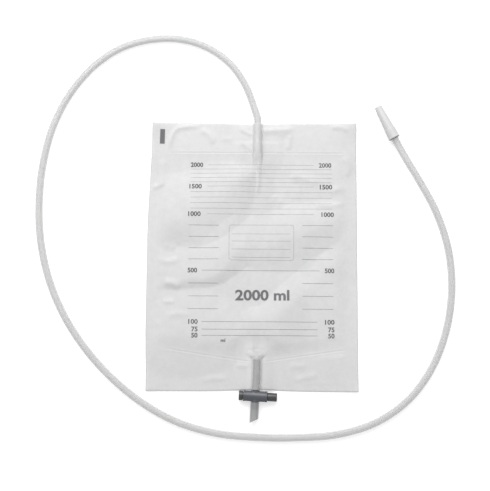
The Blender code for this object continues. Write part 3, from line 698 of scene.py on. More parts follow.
def wrinkles_height(x, up, wrinkles):
    """Heights of small wrinkles, added up. Each fades in over its first quarter and out over its last."""
    total = np.zeros(np.shape(x))
    for points, height, above, below, crest_round in wrinkles:
        line = smooth_line(np.array(points, float) * MM, 4 * MM)
        away, side, along = crest_place(x, up, line)
        width = np.where(side > 0, above, below) * MM
        share = np.maximum(0, 1 - blunt(away, crest_round * MM) / width) ** 1.5
        total = total + height * MM * hump(along, 0, 0.25, 0.75, 1) * share
    return total


# %% Welds, pressed into the front film
WELD_DEPTH = 0.10 * MM
WELD_HALF = 0.55 * MM


def pressed(distance):
    """A heat seal's section: a narrow groove with a low bead of pushed-up film on each side."""
    groove = np.exp(-(distance / WELD_HALF) ** 2)
    bead = np.exp(-((np.abs(distance) - 2.6 * WELD_HALF) / WELD_HALF) ** 2)
    return WELD_DEPTH * (0.8 * bead - groove)


def weld_relief(x, up):
    """The header line and the shallow V, each faded at its ends and at the port that it meets."""
    off_port = np.abs(x - PORT_OFFSET)
    header = pressed(up - HEADER_LINE) * hump(x, -92 * MM, -72 * MM, 88 * MM, 97 * MM)
    header = header * smoothstep(off_port, 4.5 * MM, 6.5 * MM)
    vee = pressed(up - vee_weld(x)) * hump(x, -88 * MM, -76 * MM, 86 * MM, 96 * MM)
    return header + vee * smoothstep(off_port, OUTLET_R, 1.5 * OUTLET_R)


def ripple(x, up):
    """The film's own slight waves: a few long sines across each other, under a fifth of a millimetre."""
    a = np.sin(x / (17 * MM) + 1.3 * np.sin(up / (23 * MM))) * np.sin(up / (13 * MM) + 0.7)
    b = np.sin((x + 0.6 * up) / (9 * MM) + 2.1) * np.sin((up - 0.4 * x) / (11 * MM))
    return 0.10 * MM * a + 0.06 * MM * b


def back_top(x, up):
    """Height of the back film's upper face."""
    return table_lift(x, up) + BACK_FILM


def front_under(x, up):
    """Height of the front film's lower face: folds and waves, tents over the tubes, creases and welds.

    Past the outlet tube's end the tent comes down as a pocket, measured in the tube's radius: its half
    width opens from the start to the full value, and its height runs out over its depth.
    """
    ground = back_top(x, up) + FILM_GAP
    inside = pouch_share(x, up)
    header = smoothstep(up, HEADER_LINE - 12 * MM, HEADER_LINE + 2 * MM)
    edge = smoothstep(BAG_WIDTH / 2 - np.abs(x), 0, 4 * MM)
    skirt = 1 - smoothstep(up - vee_weld(x), -6 * MM, 0)
    height = ground + (PILLOW + folds_height(x, up, FOLDS) + wrinkles_height(x, up, WRINKLES)) * inside
    height = height + (folds_height(x, up, SKIRT_FOLDS) + wrinkles_height(x, up, HEADER_CREASES)) * edge
    height = height + wrinkles_height(x, up, SKIRT_CREASES) * skirt * edge
    waves = np.maximum(0, 0.12 * MM + ripple(x, up)) * (0.35 + 0.65 * np.maximum(inside, header))
    height = height + waves * edge

    past_sleeve = SLEEVE_WIDTH / 2 + 4 * CLEARANCE
    on_sleeve = 1 - smoothstep(np.abs(x - PORT_OFFSET), past_sleeve, 1.5 * past_sleeve)
    on_sleeve = on_sleeve * smoothstep(up, SLEEVE_LOW - 12 * MM, SLEEVE_LOW - 1 * MM)
    layers = 2 * SLEEVE_WALL * (1 - smoothstep(up, SLEEVE_TOP, SLEEVE_TOP + 2 * MM))
    height = either(height, ground + (over_inlet(x, up, HUG + layers) - ground) * on_sleeve)
    height = height + wrinkles_height(x, up, SLEEVE_CREASES)

    across = np.abs(x - outlet_x(up))
    on_outlet = 1 - smoothstep(up, OUTLET_INSIDE, OUTLET_INSIDE + 3 * MM)
    held = either(height, ground + (tent(across, OUTLET_R + HUG, OUTLET_Z) - ground) * on_outlet)
    height = np.where(on_outlet > 0, held, height)
    past_end = np.maximum(0, up - OUTLET_INSIDE) / OUTLET_R
    opened = POCKET_START + (POCKET_HALF_WIDTH - POCKET_START) * smoothstep(past_end, 0, POCKET_OPENS)
    aside = blunt(across, OUTLET_R * smoothstep(past_end, 0, POCKET_ROUND))
    pocket = np.maximum(0, 1 - aside / OUTLET_R / opened) * np.maximum(0, 1 - past_end / POCKET_DEPTH)
    pocket = pocket * smoothstep(up, OUTLET_INSIDE - 2 * MM, OUTLET_INSIDE)
    height = np.maximum(height, ground + (OUTLET_Z + OUTLET_R + 2 * CLEARANCE - ground) * pocket)
    height = height + wrinkles_height(x, up, POCKET_ARCH) * inside + weld_relief(x, up)
    return np.maximum(height, back_top(x, up) + LEAST_GAP)


# %% [markdown]
# ## The net that the films are cut from
#
# Both films share one net of lines. Its rows bend with the shallow V weld, and lines crowd together at
# the welds and over the tubes, so a groove less than a millimetre wide is real geometry. The net is
# then placed: the header is gathered a little, and the ports pull the edges in.

# %% The net's lines and their place on the table
BACK_STEPS = (3.2 * MM, 1.2 * MM)
FRONT_STEPS = (1.45 * MM, 0.40 * MM)
TUBE_STRIP = 4 * MM
WELD_STRIP = 1.3 * MM
HEADER_GATHER = 3.4 * MM
LOWER_GATHER = 1.2 * MM
EDGE_PULL = 1.6 * MM


def lines_between(low, high, dense_at, dense_half, coarse, fine):
    """Places from low to high: fine steps near each dense place and coarse steps elsewhere."""
    probe = np.linspace(low, high, 4000)
    away = np.min(np.abs(probe[:, None] - np.array(dense_at)[None]), axis=1)
    density = 1 / coarse + (1 / fine - 1 / coarse) * (1 - smoothstep(away, dense_half, 2.2 * dense_half))
    count_so_far = np.concatenate([[0], np.cumsum((density[1:] + density[:-1]) / 2 * np.diff(probe))])
    wanted = np.linspace(0, count_so_far[-1], round(count_so_far[-1]) + 1)
    return np.interp(wanted, count_so_far, probe)


def net(coarse, fine):
    """The net's (x, up) in the flat film. A row that starts near the V weld runs along it."""
    flanks = [PORT_OFFSET - TUBE_STRIP, PORT_OFFSET + TUBE_STRIP]
    x = lines_between(-BAG_WIDTH / 2, BAG_WIDTH / 2, flanks, TUBE_STRIP, coarse, 1.3 * fine)
    level = lines_between(0, BAG_LENGTH, [VEE_WELD_LOW, HEADER_LINE], WELD_STRIP, coarse, fine)
    x, level = np.meshgrid(x, level)
    bend = hump(level, 0, VEE_WELD_LOW - 3 * MM, VEE_WELD_LOW + 3 * MM, 120 * MM)
    return x, level + (vee_weld(x) - VEE_WELD_LOW) * bend


def placed(x, up):
    """Where a point of the flat film lies on the table, as x and y."""
    from_port = x - PORT_OFFSET
    gather = HEADER_GATHER * smoothstep(up, 0.55 * BAG_LENGTH, BAG_LENGTH)
    gather = gather + LOWER_GATHER * (1 - smoothstep(up, 0, 0.25 * BAG_LENGTH))
    place_x = x - np.minimum(from_port, 0) / (BAG_WIDTH / 2 + PORT_OFFSET) * gather
    pull = EDGE_PULL * np.exp(-(from_port / (0.15 * BAG_WIDTH)) ** 2)
    ends = smoothstep(up, 0.9 * BAG_LENGTH, BAG_LENGTH) * -0.6 + (1 - smoothstep(up, 0, 0.08 * BAG_LENGTH))
    return place_x, BAG_LOW + up + pull * ends


def film_piece(name, height, thickness, steps, finish):
    """One film: triangles over a net of these steps, at the given height, made solid upwards."""
    x, up = net(*steps)
    place_x, place_y = placed(x, up)
    points = np.stack([place_x, place_y, height(x, up)], -1).reshape(-1, 3)
    quads = grid_faces(*x.shape)
    piece = new_piece(name, points, np.vstack([quads[:, [0, 1, 2]], quads[:, [0, 2, 3]]]), finish)
    solid = piece.modifiers.new("thickness", "SOLIDIFY")
    solid.thickness = thickness
    solid.offset = 1.0
    print(f"{name}: {x.shape[0]} by {x.shape[1]} lines, {4 * len(quads)} triangles with its thickness")
    return piece, x, up


# %% [markdown]
# ## Film finishes
#
# The back film is white and hides the table. The front film is frosted: over air it looks milky, and
# where it touches a tube it lets the tube through, as tracing paper does. Three numbers are stored on
# its vertices. "contact" is where it lies on the outlet tube and lets more through; below zero, over
# the inlet tube's end, it lets less through. "rise" is its height over the back film in millimetres,
# and greys it a little as painted shade for the air beneath it. The third darkens it with painted
# shade, or lightens it with painted light where it is negative: it evens out places that this lamp
# shades differently from the light of the photo.

# %% White film and frosted film
white_film = Finish("white_film")
white_film.surface(
    white_film.noise(55, 4), (0.85, 0.89), (300, 0.42, 0.55), (1500, 2, 0.015 * MM), spread=(0.3, 0.7)
)

frosted_film = Finish("frosted_film")
# Painted shade: the colour greys where the film stands higher over the back film, for the shade in the air
# beneath it, and a stored number darkens some places with painted shade and lightens others with painted
# light.
lowness = frosted_film.between(frosted_film.stored("rise"), 1.8, 7.0, 0.5, 0.0)
mottle_and_gap_shade = frosted_film.noise(48, 4) * 0.5 + lowness
shade = mottle_and_gap_shade * 0.4 + 0.6 - frosted_film.stored("painted_shade_and_light") * 0.6
haze = frosted_film.between(frosted_film.noise(90, 4), 0.3, 0.7, 0.60, 0.68)
frosted_film.set("Alpha", haze - frosted_film.stored("contact") * 0.46)
frosted_film.surface(shade, (0.70, 0.925), (260, 0.34, 0.48), (1100, 3, 0.02 * MM), spread=(0.3, 0.7))

# %% Both films
bag_back, _, _ = film_piece("bag_back", table_lift, BACK_FILM, BACK_STEPS, white_film)
bag_front, film_x, film_up = film_piece("bag_front", front_under, FRONT_FILM, FRONT_STEPS, frosted_film)

# %% Numbers stored on the front film: distances from the ports are in radii of their tubes
from_outlet = np.abs(film_x - outlet_x(film_up)) / OUTLET_R
from_inlet = np.abs(film_x - PORT_OFFSET) / TUBE_R
past_outlet = (film_up - OUTLET_INSIDE) / OUTLET_R
on_outlet = (1 - smoothstep(from_outlet, 0.72, 0.95)) * (1 - smoothstep(past_outlet, -0.12, 0.36))
over_end = (1 - smoothstep(from_inlet, 0.9, 1.3)) * hump(
    film_up, TUBE_END - 16 * MM, TUBE_END - 11 * MM, TUBE_END - 4 * MM, TUBE_END
)
in_pocket = hump(past_outlet, -0.2, 0.3, 2.0, 3.2) * (1 - smoothstep(from_outlet, 1.0, 2.2))
steep_outlet = hump(from_outlet, 0.9, 1.1, 1.4, 2.4) * (1 - smoothstep(past_outlet, 0.8, 1.6))
steep_inlet = hump(from_inlet, 0.9, 1.1, 1.4, 2.0) * smoothstep(film_up, TUBE_END, TUBE_END + 4 * MM)
under_header = hump(film_up, 212 * MM, 224 * MM, 234 * MM, 246 * MM)
right_side = smoothstep(film_x, 48 * MM, 72 * MM) * hump(film_up, 20 * MM, 40 * MM, 90 * MM, 120 * MM)
# The last number below is painted shade and painted light: shade in the outlet's pocket and in a band under
# the header, light on the steep flanks beside both tubes, over the inlet tube's end and on the bag's right
# side.
for name, values in (
    ("contact", 0.9 * on_outlet - 0.4 * over_end),
    ("rise", (front_under(film_x, film_up) - back_top(film_x, film_up)) / MM),
    ("painted_shade_and_light", in_pocket - steep_outlet - steep_inlet - over_end + 0.3 * under_header - 0.5 * right_side),
):
    stored = bag_front.data.attributes.new(name, "FLOAT", "POINT")
    stored.data.foreach_set("value", values.astype(np.float32).ravel())

for film, node, slot_name, under in (
    (bag_back, "back_film", "white_film", []),
    (bag_front, "front_film", "frosted_film", ["bag_back"]),
):
    dress(film, "bag", node, slot_name)
    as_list(under)

# %% [markdown]
# ## The non-return sleeve
#
# Inside the pouch the tube opens into a flat sleeve of thin film. Urine runs through it, and it
# collapses when the bag is pressed, so nothing runs back. It is a flattened pipe with a thin wall.

# %% Sleeve of thin film
thin_film = Finish("thin_film", base_color=(0.88, 0.885, 0.89, 1), roughness=0.35)
thin_film.set("Alpha", thin_film.between(thin_film.noise(120), 0.3, 0.7, 0.28, 0.36))
thin_film.bump(thin_film.noise(1300, 2), 0.01 * MM)

SLEEVE_EDGE = 1.5 * MM
sleeve_rows = np.linspace(SLEEVE_TOP, SLEEVE_LOW, 60)
half_sleeve = np.linspace(-1, 1, 61)


def sleeve_wall(half_width, wall):
    """Loops round the sleeve, one for each row: over the tube from left to right, and back below."""
    x = PORT_OFFSET + half_sleeve * half_width
    over = over_inlet(x[None], sleeve_rows[:, None], wall)
    under = np.full(over.shape, SLEEVE_FLOOR - wall)
    across = np.concatenate([x, x[::-1]])
    heights = np.hstack([over, under[:, ::-1]])
    ups = np.broadcast_to(BAG_LOW + sleeve_rows[:, None], heights.shape)
    return np.stack([np.broadcast_to(across, heights.shape), ups, heights], -1)


outer_wall = sleeve_wall(SLEEVE_WIDTH / 2, SLEEVE_WALL)
inner_wall = sleeve_wall(SLEEVE_WIDTH / 2 - SLEEVE_EDGE, 0.0)
flow_sleeve = piece_from("flow_sleeve", shell(outer_wall, inner_wall), thin_film)
dress(flow_sleeve, "bag", "non_return_valve", "sleeve_film")

# %% [markdown]
# ## Print
#
# The scale is printed in grey ink on the front film: a mark for every hundred millilitres, with
# numerals at both sides. Each line is a thin ribbon laid on the film's own height, so it follows every
# fold. Numerals are text that is made a mesh, cut fine enough to bend, and laid down the same way.

# %% Laying flat shapes on the film
INK_STAND = 0.07 * MM


def laid_on_film(points):
    """Flat (x, y) points lifted onto the front film. The film's net is found from the place."""
    x, up = points[:, 0].copy(), points[:, 1] - BAG_LOW
    for _ in range(3):
        place_x, place_y = placed(x, up)
        x, up = x + points[:, 0] - place_x, up + points[:, 1] - place_y
    return np.column_stack([points, front_under(x, up) + FRONT_FILM + INK_STAND])


grey_ink = Finish("grey_ink", roughness=0.55)
grain = grey_ink.noise(900, 2)
grey_ink.set("Base Color", grey_ink.blend(grain, (0.07, 0.07, 0.075), (0.12, 0.12, 0.125)))
grey_ink.set("Alpha", grey_ink.between(grey_ink.noise(60), 0.3, 0.6, 0.62, 0.9))

# %% Ribbons: straight lines and the writing box
LINE_WIDTH = 0.30 * MM
HAIRLINE = 0.19 * MM
MARKS = {2000: 227.5, 1500: 204.9, 1000: 176.5, 500: 119.6, 100: 68.4, 75: 60.9, 50: 54.8}
NUMERAL_LINES = (
    ((2000, 1500, 1000), -46.5, 61, HAIRLINE), ((500,), -51.5, 66.5, LINE_WIDTH),
    ((100, 75, 50), -51, 64, LINE_WIDTH),
)
LONG_LINES = ((-63.8, 79.4, HAIRLINE),)
SHORT_LINES = ((-65.1, -34.8, LINE_WIDTH), (48.9, 80.1, LINE_WIDTH))
BETWEEN_MARKS = (
    (2000, 1500, 5, LONG_LINES), (1500, 1000, 5, LONG_LINES),
    (1000, 500, 5, SHORT_LINES), (500, 100, 4, SHORT_LINES),
)
BOX_SIDES = (-24.5, 40.3)
BOX_UPS = (130.0, 165.5)
BOX_CORNER = 2.2
BOX_RULES = (156.4, 149.1, 141.0, 132.8)
RULE_SPAN = (-21.9, 37.5)
PRINT_SHIFT = 1.35
PRINT_STEP = 0.7


def ribbon(line, width):
    """A flat strip of this width along a line of (x, y) points."""
    ahead = np.gradient(line, axis=0)
    ahead = ahead / np.linalg.norm(ahead, axis=1, keepdims=True)
    across = np.stack([-ahead[:, 1], ahead[:, 0]], 1) * width / 2
    points = np.stack([line + across, line - across], 1).reshape(-1, 2)
    return laid_on_film(points), grid_faces(len(line), 2)


def level_line(start, end, width, up):
    """A ribbon across the bag, from start to end and at this height up the bag in millimetres."""
    x = np.arange(start + PRINT_SHIFT, end + PRINT_SHIFT, PRINT_STEP) * MM
    return ribbon(np.stack([x, np.full(len(x), BAG_LOW + up * MM)], 1), width)


def scale_lines():
    """Lines beside the numerals, and between two numerals one for every hundred millilitres."""
    made = [level_line(*line, MARKS[mark]) for marks, *line in NUMERAL_LINES for mark in marks]
    for high, low, count, lines in BETWEEN_MARKS:
        ups = np.linspace(MARKS[high], MARKS[low], count + 1)[1:-1]
        made += [level_line(*line, up) for up in ups for line in lines]
    return made


def box_outline():
    """The writing box: a rounded rectangle as a closed line, in millimetres."""
    (left, right), (low, high) = np.add(BOX_SIDES, PRINT_SHIFT), BOX_UPS
    turn = np.linspace(0, math.pi / 2, 8)
    outline = []
    for number, (x, y) in enumerate(((right, high), (left, high), (left, low), (right, low))):
        outwards = np.sign([x - (left + right) / 2, y - (low + high) / 2])
        angle = turn + number * math.pi / 2
        arc = np.stack([np.cos(angle), np.sin(angle)], 1)
        outline.append(np.array([x, y]) + BOX_CORNER * (arc - outwards))
    return evenly(np.vstack(outline + outline[:1]), PRINT_STEP)


def flat_piece(name, parts, finish):
    """A thin printed piece: flat strips joined into one mesh, facing up."""
    starts = np.cumsum([0] + [len(points) for points, _ in parts])
    faces = np.vstack([part[1] + start for part, start in zip(parts, starts)])
    piece = new_piece(name, np.vstack([points for points, _ in parts]), faces, finish)
    piece.data.update()
    normals = np.zeros(len(faces) * 3)
    piece.data.polygons.foreach_get("normal", normals)
    if normals.reshape(-1, 3)[:, 2].mean() < 0:
        piece.data.flip_normals()
    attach(piece, "bag")


box_parts = [ribbon(box_outline() * MM + [0, BAG_LOW], HAIRLINE)]
box_parts += [level_line(*RULE_SPAN, HAIRLINE, up) for up in BOX_RULES]
flat_piece("scale_lines", scale_lines(), grey_ink)
flat_piece("writing_box", box_parts, grey_ink)

# %% Numerals
NUMERAL_HEIGHT = 4.9 * MM
NUMERAL_WIDTH = 3.15 * MM
LEFT_EDGE = {2000: -64.0, 1500: -65.0, 1000: -65.8, 500: -65.6}
LEFT_END = -54.9
RIGHT_EDGE = {2000: 78.6, 1500: 79.4}
RIGHT_END = 80.8
UNIT_SIZE = (3.4 * MM, 4.6 * MM)
UNIT_PLACE = (-32, 48.3)
CAPACITY_SIZE = (11 * MM, 54 * MM)
CAPACITY_PLACE = (-18, 89.5)
STROKE_SWELL = 0.03
FINE_CUT = 0.9 * MM


def cut_fine(shape):
    """Cut a flat shape into triangles, and halve the long edges three times."""
    bmesh.ops.triangulate(shape, faces=shape.faces)
    for _ in range(3):
        long_edges = [edge for edge in shape.edges if edge.calc_length() > FINE_CUT]
        if long_edges:
            bmesh.ops.subdivide_edges(shape, edges=long_edges, cuts=1)
            bmesh.ops.triangulate(shape, faces=shape.faces)


def text_mesh(words, size, place, align="left"):
    """Words as a fine flat mesh of this height and width. Their left or right end stands at the place.

    The place is across the bag and up the bag in millimetres, at the foot of the words.
    """
    curve = bpy.data.curves.new("words", "FONT")
    curve.body = words
    curve.resolution_u = 3
    curve.offset = STROKE_SWELL
    holder = linked("words", curve)
    mesh = worked_out(holder)
    bpy.data.objects.remove(holder)
    flat = points_of(mesh)
    low, high = flat.min(0), flat.max(0)
    scale = np.array([size[1] / (high[0] - low[0]), size[0] / (high[1] - low[1]), 1])
    anchor = np.array([low[0] if align == "left" else high[0], low[1], 0])
    flat = (flat - anchor) * scale + [(place[0] + PRINT_SHIFT) * MM, BAG_LOW + place[1] * MM, 0]
    mesh.vertices.foreach_set("co", flat.ravel())
    reshape(mesh, cut_fine)
    points = points_of(mesh)
    faces = np.array([face.vertices[:] for face in mesh.polygons])
    bpy.data.meshes.remove(mesh)
    return laid_on_film(points[:, :2]), faces


def numerals():
    """Both columns. The top four start at the left margin; the rest end where 100 ends."""
    made = []
    for mark, up in MARKS.items():
        words, foot = str(mark), up - NUMERAL_HEIGHT / MM / 2
        size = (NUMERAL_HEIGHT, NUMERAL_WIDTH * len(words))
        left = ((LEFT_EDGE[mark], foot), "left") if mark in LEFT_EDGE else ((LEFT_END, foot), "right")
        made.append(text_mesh(words, size, *left))
        made.append(text_mesh(words, size, (RIGHT_EDGE.get(mark, RIGHT_END), foot), "right"))
    return made + [text_mesh("ml", UNIT_SIZE, UNIT_PLACE)]


flat_piece("scale_numerals", numerals(), grey_ink)

# %% Capacity and the corner's register bar
BAR_X = (-93.4, -93.0)
BAR_UP = (249.2, 264.2)
BAR_WIDTH = 4.9 * MM

soft_ink = Finish("soft_ink", roughness=0.55, base_color=(0.17, 0.17, 0.18, 1))
soft_ink.set("Alpha", soft_ink.between(soft_ink.noise(80), 0.3, 0.7, 0.86, 1.0))
flat_piece("capacity", [text_mesh("2000 ml", CAPACITY_SIZE, CAPACITY_PLACE)], soft_ink)

bar_x, bar_up = np.linspace(*BAR_X, 20) + PRINT_SHIFT, np.linspace(*BAR_UP, 20)
bar_line = np.stack([bar_x * MM, BAG_LOW + bar_up * MM], 1)
flat_piece("register_bar", [ribbon(bar_line, BAR_WIDTH)], soft_ink)

# %% [markdown]
# ## The outlet tube and the drain spout
#
# Both are short lengths of a wider tube that is smoky rather than milky, pushed over the tap's two
# spigots. The upper one lies between the films and bends onto the tap's axis. The lower one is cut at
# a slant.

# %% Smoky tube finish and the two lengths
SPOUT_LENGTH = 20 * MM
SPOUT_CUT = math.radians(27)
COLLAR_END = 5.7 * MM
SPOUT_START = COLLAR_END + CLEARANCE
EDGE_ROUND = 0.25 * MM
PIPE_SIDES = 64

smoky_pvc = Finish("smoky_pvc", ior=1.45)
smoky_pvc.set("Alpha", smoky_pvc.between(smoky_pvc.levelness(), 0.1, 0.8, 0.75, 0.45))
smoky_colours = (0.44, 0.44, 0.455), (0.52, 0.52, 0.53)
smoky_pvc.surface(smoky_pvc.noise(120, 2), smoky_colours, (500, 0.26, 0.38), (1100, 2, 0.015 * MM))


def drain_spout():
    """Rings down the spout, with its cut end: each ring leans further into the slant of the cut."""
    down = np.concatenate([[0, EDGE_ROUND], np.linspace(1 * MM, SPOUT_LENGTH, 24)])
    lean = smoothstep(down, 0.3 * SPOUT_LENGTH, SPOUT_LENGTH)
    turn = np.arange(PIPE_SIDES) * math.tau / PIPE_SIDES
    walls = []
    for radius, rounding in ((OUTLET_R, EDGE_ROUND / 2), (OUTLET_BORE, -EDGE_ROUND / 2)):
        radii = np.full((len(down), 1), radius)
        radii[0] -= rounding
        across = radii * np.cos(turn)
        back = lean[:, None] * math.tan(SPOUT_CUT) * (across + OUTLET_R)
        walls.append(np.stack([across, -SPOUT_START - down[:, None] + back, radii * np.sin(turn)], -1))
    points, faces = shell(*walls)
    return turned(points, VALVE_TURN, VALVE_PLACE), faces


outlet_up = np.linspace(SPOUT_START - VALVE_DROP, OUTLET_INSIDE, 40)
outlet_line = np.stack([outlet_x(outlet_up), BAG_LOW + outlet_up, 0 * outlet_up + OUTLET_Z], 1)
for name, part, node in (
    ("outlet_pipe", pipe(outlet_line, OUTLET_R, OUTLET_BORE, PIPE_SIDES), "outlet_tube"),
    ("spout_pipe", drain_spout(), "drain_spout"),
):
    dress(piece_from(name, part, smoky_pvc), "bag", node, "clear_tube")

# %% [markdown]
# ## Turned and moulded parts
#
# The tap, the connector and the cap are moulded, and each is mostly round. A profile is a short list
# of corners (radius from the axis, place along it, rounding). The corners are first rounded by true
# arcs, then the profile is spun. Moulded edges are never sharp, and the arcs give them their glint.

# %% Rounded profiles and spinning
SIDES = 96
ARC_STEPS = 5


def rounded(corners):
    """A profile whose corners are arcs: each touches both of its sides at the same distance."""
    points = np.array([corner[:2] for corner in corners], float)
    made = [points[:1]]
    for before, here, after, (_, _, size) in zip(points, points[1:], points[2:], corners[1:-1]):
        to_before = (before - here) / np.linalg.norm(before - here)
        to_after = (after - here) / np.linalg.norm(after - here)
        half = math.acos(float(np.clip(to_before @ to_after, -1, 1))) / 2
        if size <= 0 or half > 1.55:
            made.append(here[None])
            continue
        start = here + to_before * size / math.tan(half)
        end = here + to_after * size / math.tan(half)
        middle = (to_before + to_after) / np.linalg.norm(to_before + to_after)
        centre = here + middle * size / math.sin(half)
        swing = math.pi - 2 * half
        share = np.linspace(0, 1, ARC_STEPS)[:, None]
        spread = np.sin((1 - share) * swing) * (start - centre) + np.sin(share * swing) * (end - centre)
        made.append(centre + spread / math.sin(swing))
    made.append(points[-1:])
    return np.vstack(made)


def spun(profile, along, sides=SIDES, start=0.0):
    """The profile's points carried round the axis, along "x" or "y", from this share of a turn."""
    turn = (np.arange(sides) / sides + start) * math.tau
    radius, place = profile[:, :1], profile[:, 1:]
    across, height = radius * np.cos(turn), radius * np.sin(turn)
    place = np.broadcast_to(place, across.shape)
    axes = (place, across, height) if along == "x" else (across, place, height)
    points = np.stack(axes, -1)
    return points.reshape(-1, 3), grid_faces(*across.shape, wrap_columns=True)


# %% Moulded grey finishes
body_grey = Finish("body_grey", ior=1.55, specular_ior_level=1.0)
knob_grey = Finish("knob_grey", specular_ior_level=1.0)
body_colours = (0.056, 0.062, 0.078), (0.072, 0.079, 0.098)
body_flow = body_grey.noise(260, stretch=(0.5, 1, 1))
body_grey.surface(body_flow, body_colours, (700, 0.36, 0.48), (1800, 2, 0.012 * MM))
knob_colours = (0.030, 0.031, 0.032), (0.044, 0.045, 0.046)
knob_grey.surface(knob_grey.noise(300), knob_colours, (800, 0.3, 0.44), (1900, 2, 0.012 * MM))

# %% [markdown]
# The tap's body is a barrel with a spigot up and a spigot down. Where a spigot grows out of the barrel
# the mould leaves a small fillet. So each spigot starts as a flare that follows the barrel's curve, is
# joined to it by a Boolean, and the bores are cut afterwards.

# %% The tap's body
BARREL_HALF = 11.8 * MM
BARREL_R = 5.1 * MM
BARREL_RIM = 0.2 * MM
BARREL_RIM_WIDTH = 1.6 * MM
BARREL_BORE = 4.4 * MM
COLLAR_R = 4.2 * MM
SPIGOT_R = 2.9 * MM
SPIGOT_LENGTH = 6.8 * MM
FLOW_BORE = 1.9 * MM
FLARE = 0.6 * MM
CUTTER_HALF = 30 * MM
BODY_SHARP_FROM = math.radians(38)


def flared_stem(direction):
    """A spigot from inside the barrel outwards: sunk start, flare, collar, spigot and lead.

    On the barrel the surface stands at sqrt(R^2 - z^2), so each ring of the flare is lifted by that
    height and settles to a level ring at the collar.
    """
    turn = np.arange(SIDES) * math.tau / SIDES
    quarter = np.linspace(0, math.pi / 2, 8)
    radii = np.concatenate([[COLLAR_R + FLARE], COLLAR_R + FLARE * (1 - np.sin(quarter))])
    lifts = np.concatenate([[-0.6 * MM], FLARE * (1 - np.cos(quarter)) - 0.03 * MM])
    height = radii[:, None] * np.sin(turn)
    on_barrel = np.sqrt(np.maximum(BARREL_R ** 2 - height ** 2, 0))
    flare = np.stack([radii[:, None] * np.cos(turn), on_barrel + lifts[:, None], height], -1)
    reach = COLLAR_END + SPIGOT_LENGTH
    tip = rounded([
        (COLLAR_R, COLLAR_END - 0.05 * MM, 0), (COLLAR_R, COLLAR_END, 0.0), (SPIGOT_R, COLLAR_END, 0),
        (SPIGOT_R, reach - 0.6 * MM, 0.3 * MM), (SPIGOT_R - 0.5 * MM, reach, 0.2 * MM), (0, reach, 0),
    ])
    tip_points, _ = spun(tip, "y")
    tip_rings = tip_points.reshape(len(tip), SIDES, 3)
    start = np.zeros((1, SIDES, 3))
    start[..., 1] = flare[0, :, 1].min() - 0.3 * MM
    rings = np.vstack([start, flare, tip_rings])
    rings[..., 1] *= direction
    return rings.reshape(-1, 3), grid_faces(len(rings), SIDES, wrap_columns=True)


def boolean(piece, tool, operation):
    """Join or cut with another object, then delete it."""
    change = piece.modifiers.new("shape", "BOOLEAN")
    change.operation = operation
    change.solver = "EXACT"
    change.object = tool
    result = worked_out(piece)
    piece.modifiers.clear()
    piece.data = result
    bpy.data.objects.remove(tool)


rim_r = BARREL_R + BARREL_RIM
rim_start = BARREL_HALF - BARREL_RIM_WIDTH
half_profile = [
    (rim_r, BARREL_HALF, 0.25 * MM), (rim_r, rim_start, 0.08 * MM),
    (BARREL_R, rim_start - BARREL_RIM, 0.4 * MM),
]
barrel_profile = [(0, -BARREL_HALF, 0)] + [(r, -x, size) for r, x, size in half_profile]
barrel_profile += half_profile[::-1] + [(0, BARREL_HALF, 0)]
tap_body = piece_from("tap_body", spun(rounded(barrel_profile), "x"), body_grey)
for direction in (1, -1):
    boolean(tap_body, piece_from("stem", flared_stem(direction), body_grey), "UNION")
for radius, half, sides, along in (
    (BARREL_BORE, 2 * BARREL_HALF, SIDES, "x"),
    (FLOW_BORE, CUTTER_HALF, SIDES // 2, "y"),
):
    cutter = np.array([(0, -half), (radius, -half), (radius, half), (0, half)])
    cutter = piece_from("cutter", spun(cutter, along, sides, 0.5 / SIDES), body_grey)
    boolean(tap_body, cutter, "DIFFERENCE")
tap_body.data.shade_smooth()
tap_body.data.set_sharp_from_angle(angle=BODY_SHARP_FROM)


def settle_in_tap(piece):
    """Put a piece that was made on the tap's own axes where the tap lies."""
    points = turned(points_of(piece.data), VALVE_TURN, VALVE_PLACE)
    piece.data.vertices.foreach_set("co", points.ravel())
    piece.data.update()


settle_in_tap(tap_body)
dress(tap_body, "bag", "valve_body", "valve_grey")
print(f"tap body has {len(tap_body.data.polygons)} faces")

# %% [markdown]
# The plunger slides through the barrel. Three sealing ribs ride in the bore, and a waist between two
# of them lets the urine pass once it is pushed across. A knob stands at the left and a thumb end at
# the right.

# %% The tap's plunger
PLUNGER_FIT = 0.3 * MM
RIB_HEIGHT = 0.5 * MM
RIB_WIDTH = 1.2 * MM
WAIST_R = 1.8 * MM
PLUNGER_TRAVEL = 7.5 * MM
PLUNGER_STAND = 9.5 * MM
KNOB_LENGTH = 4.0 * MM
KNOB_R = 4.8 * MM
KNOB_DISH = 0.5 * MM

bore_fit = BARREL_BORE - PLUNGER_FIT
shaft_r = bore_fit - RIB_HEIGHT
knob_in = -BARREL_HALF - CLEARANCE
knob_out = knob_in - KNOB_LENGTH
last_rib = BARREL_HALF - RIB_WIDTH / 2 - 0.3 * MM
middle_rib = PLUNGER_TRAVEL / 2 + 0.2 * MM
first_rib = middle_rib - PLUNGER_TRAVEL


def rib(middle):
    """One sealing rib: a low rounded ridge on the shaft."""
    half, top = RIB_WIDTH / 2, RIB_WIDTH / 4
    return [
        (shaft_r, middle - half, 0.1 * MM), (bore_fit, middle - top, 0.15 * MM),
        (bore_fit, middle + top, 0.15 * MM), (shaft_r, middle + half, 0.1 * MM),
    ]


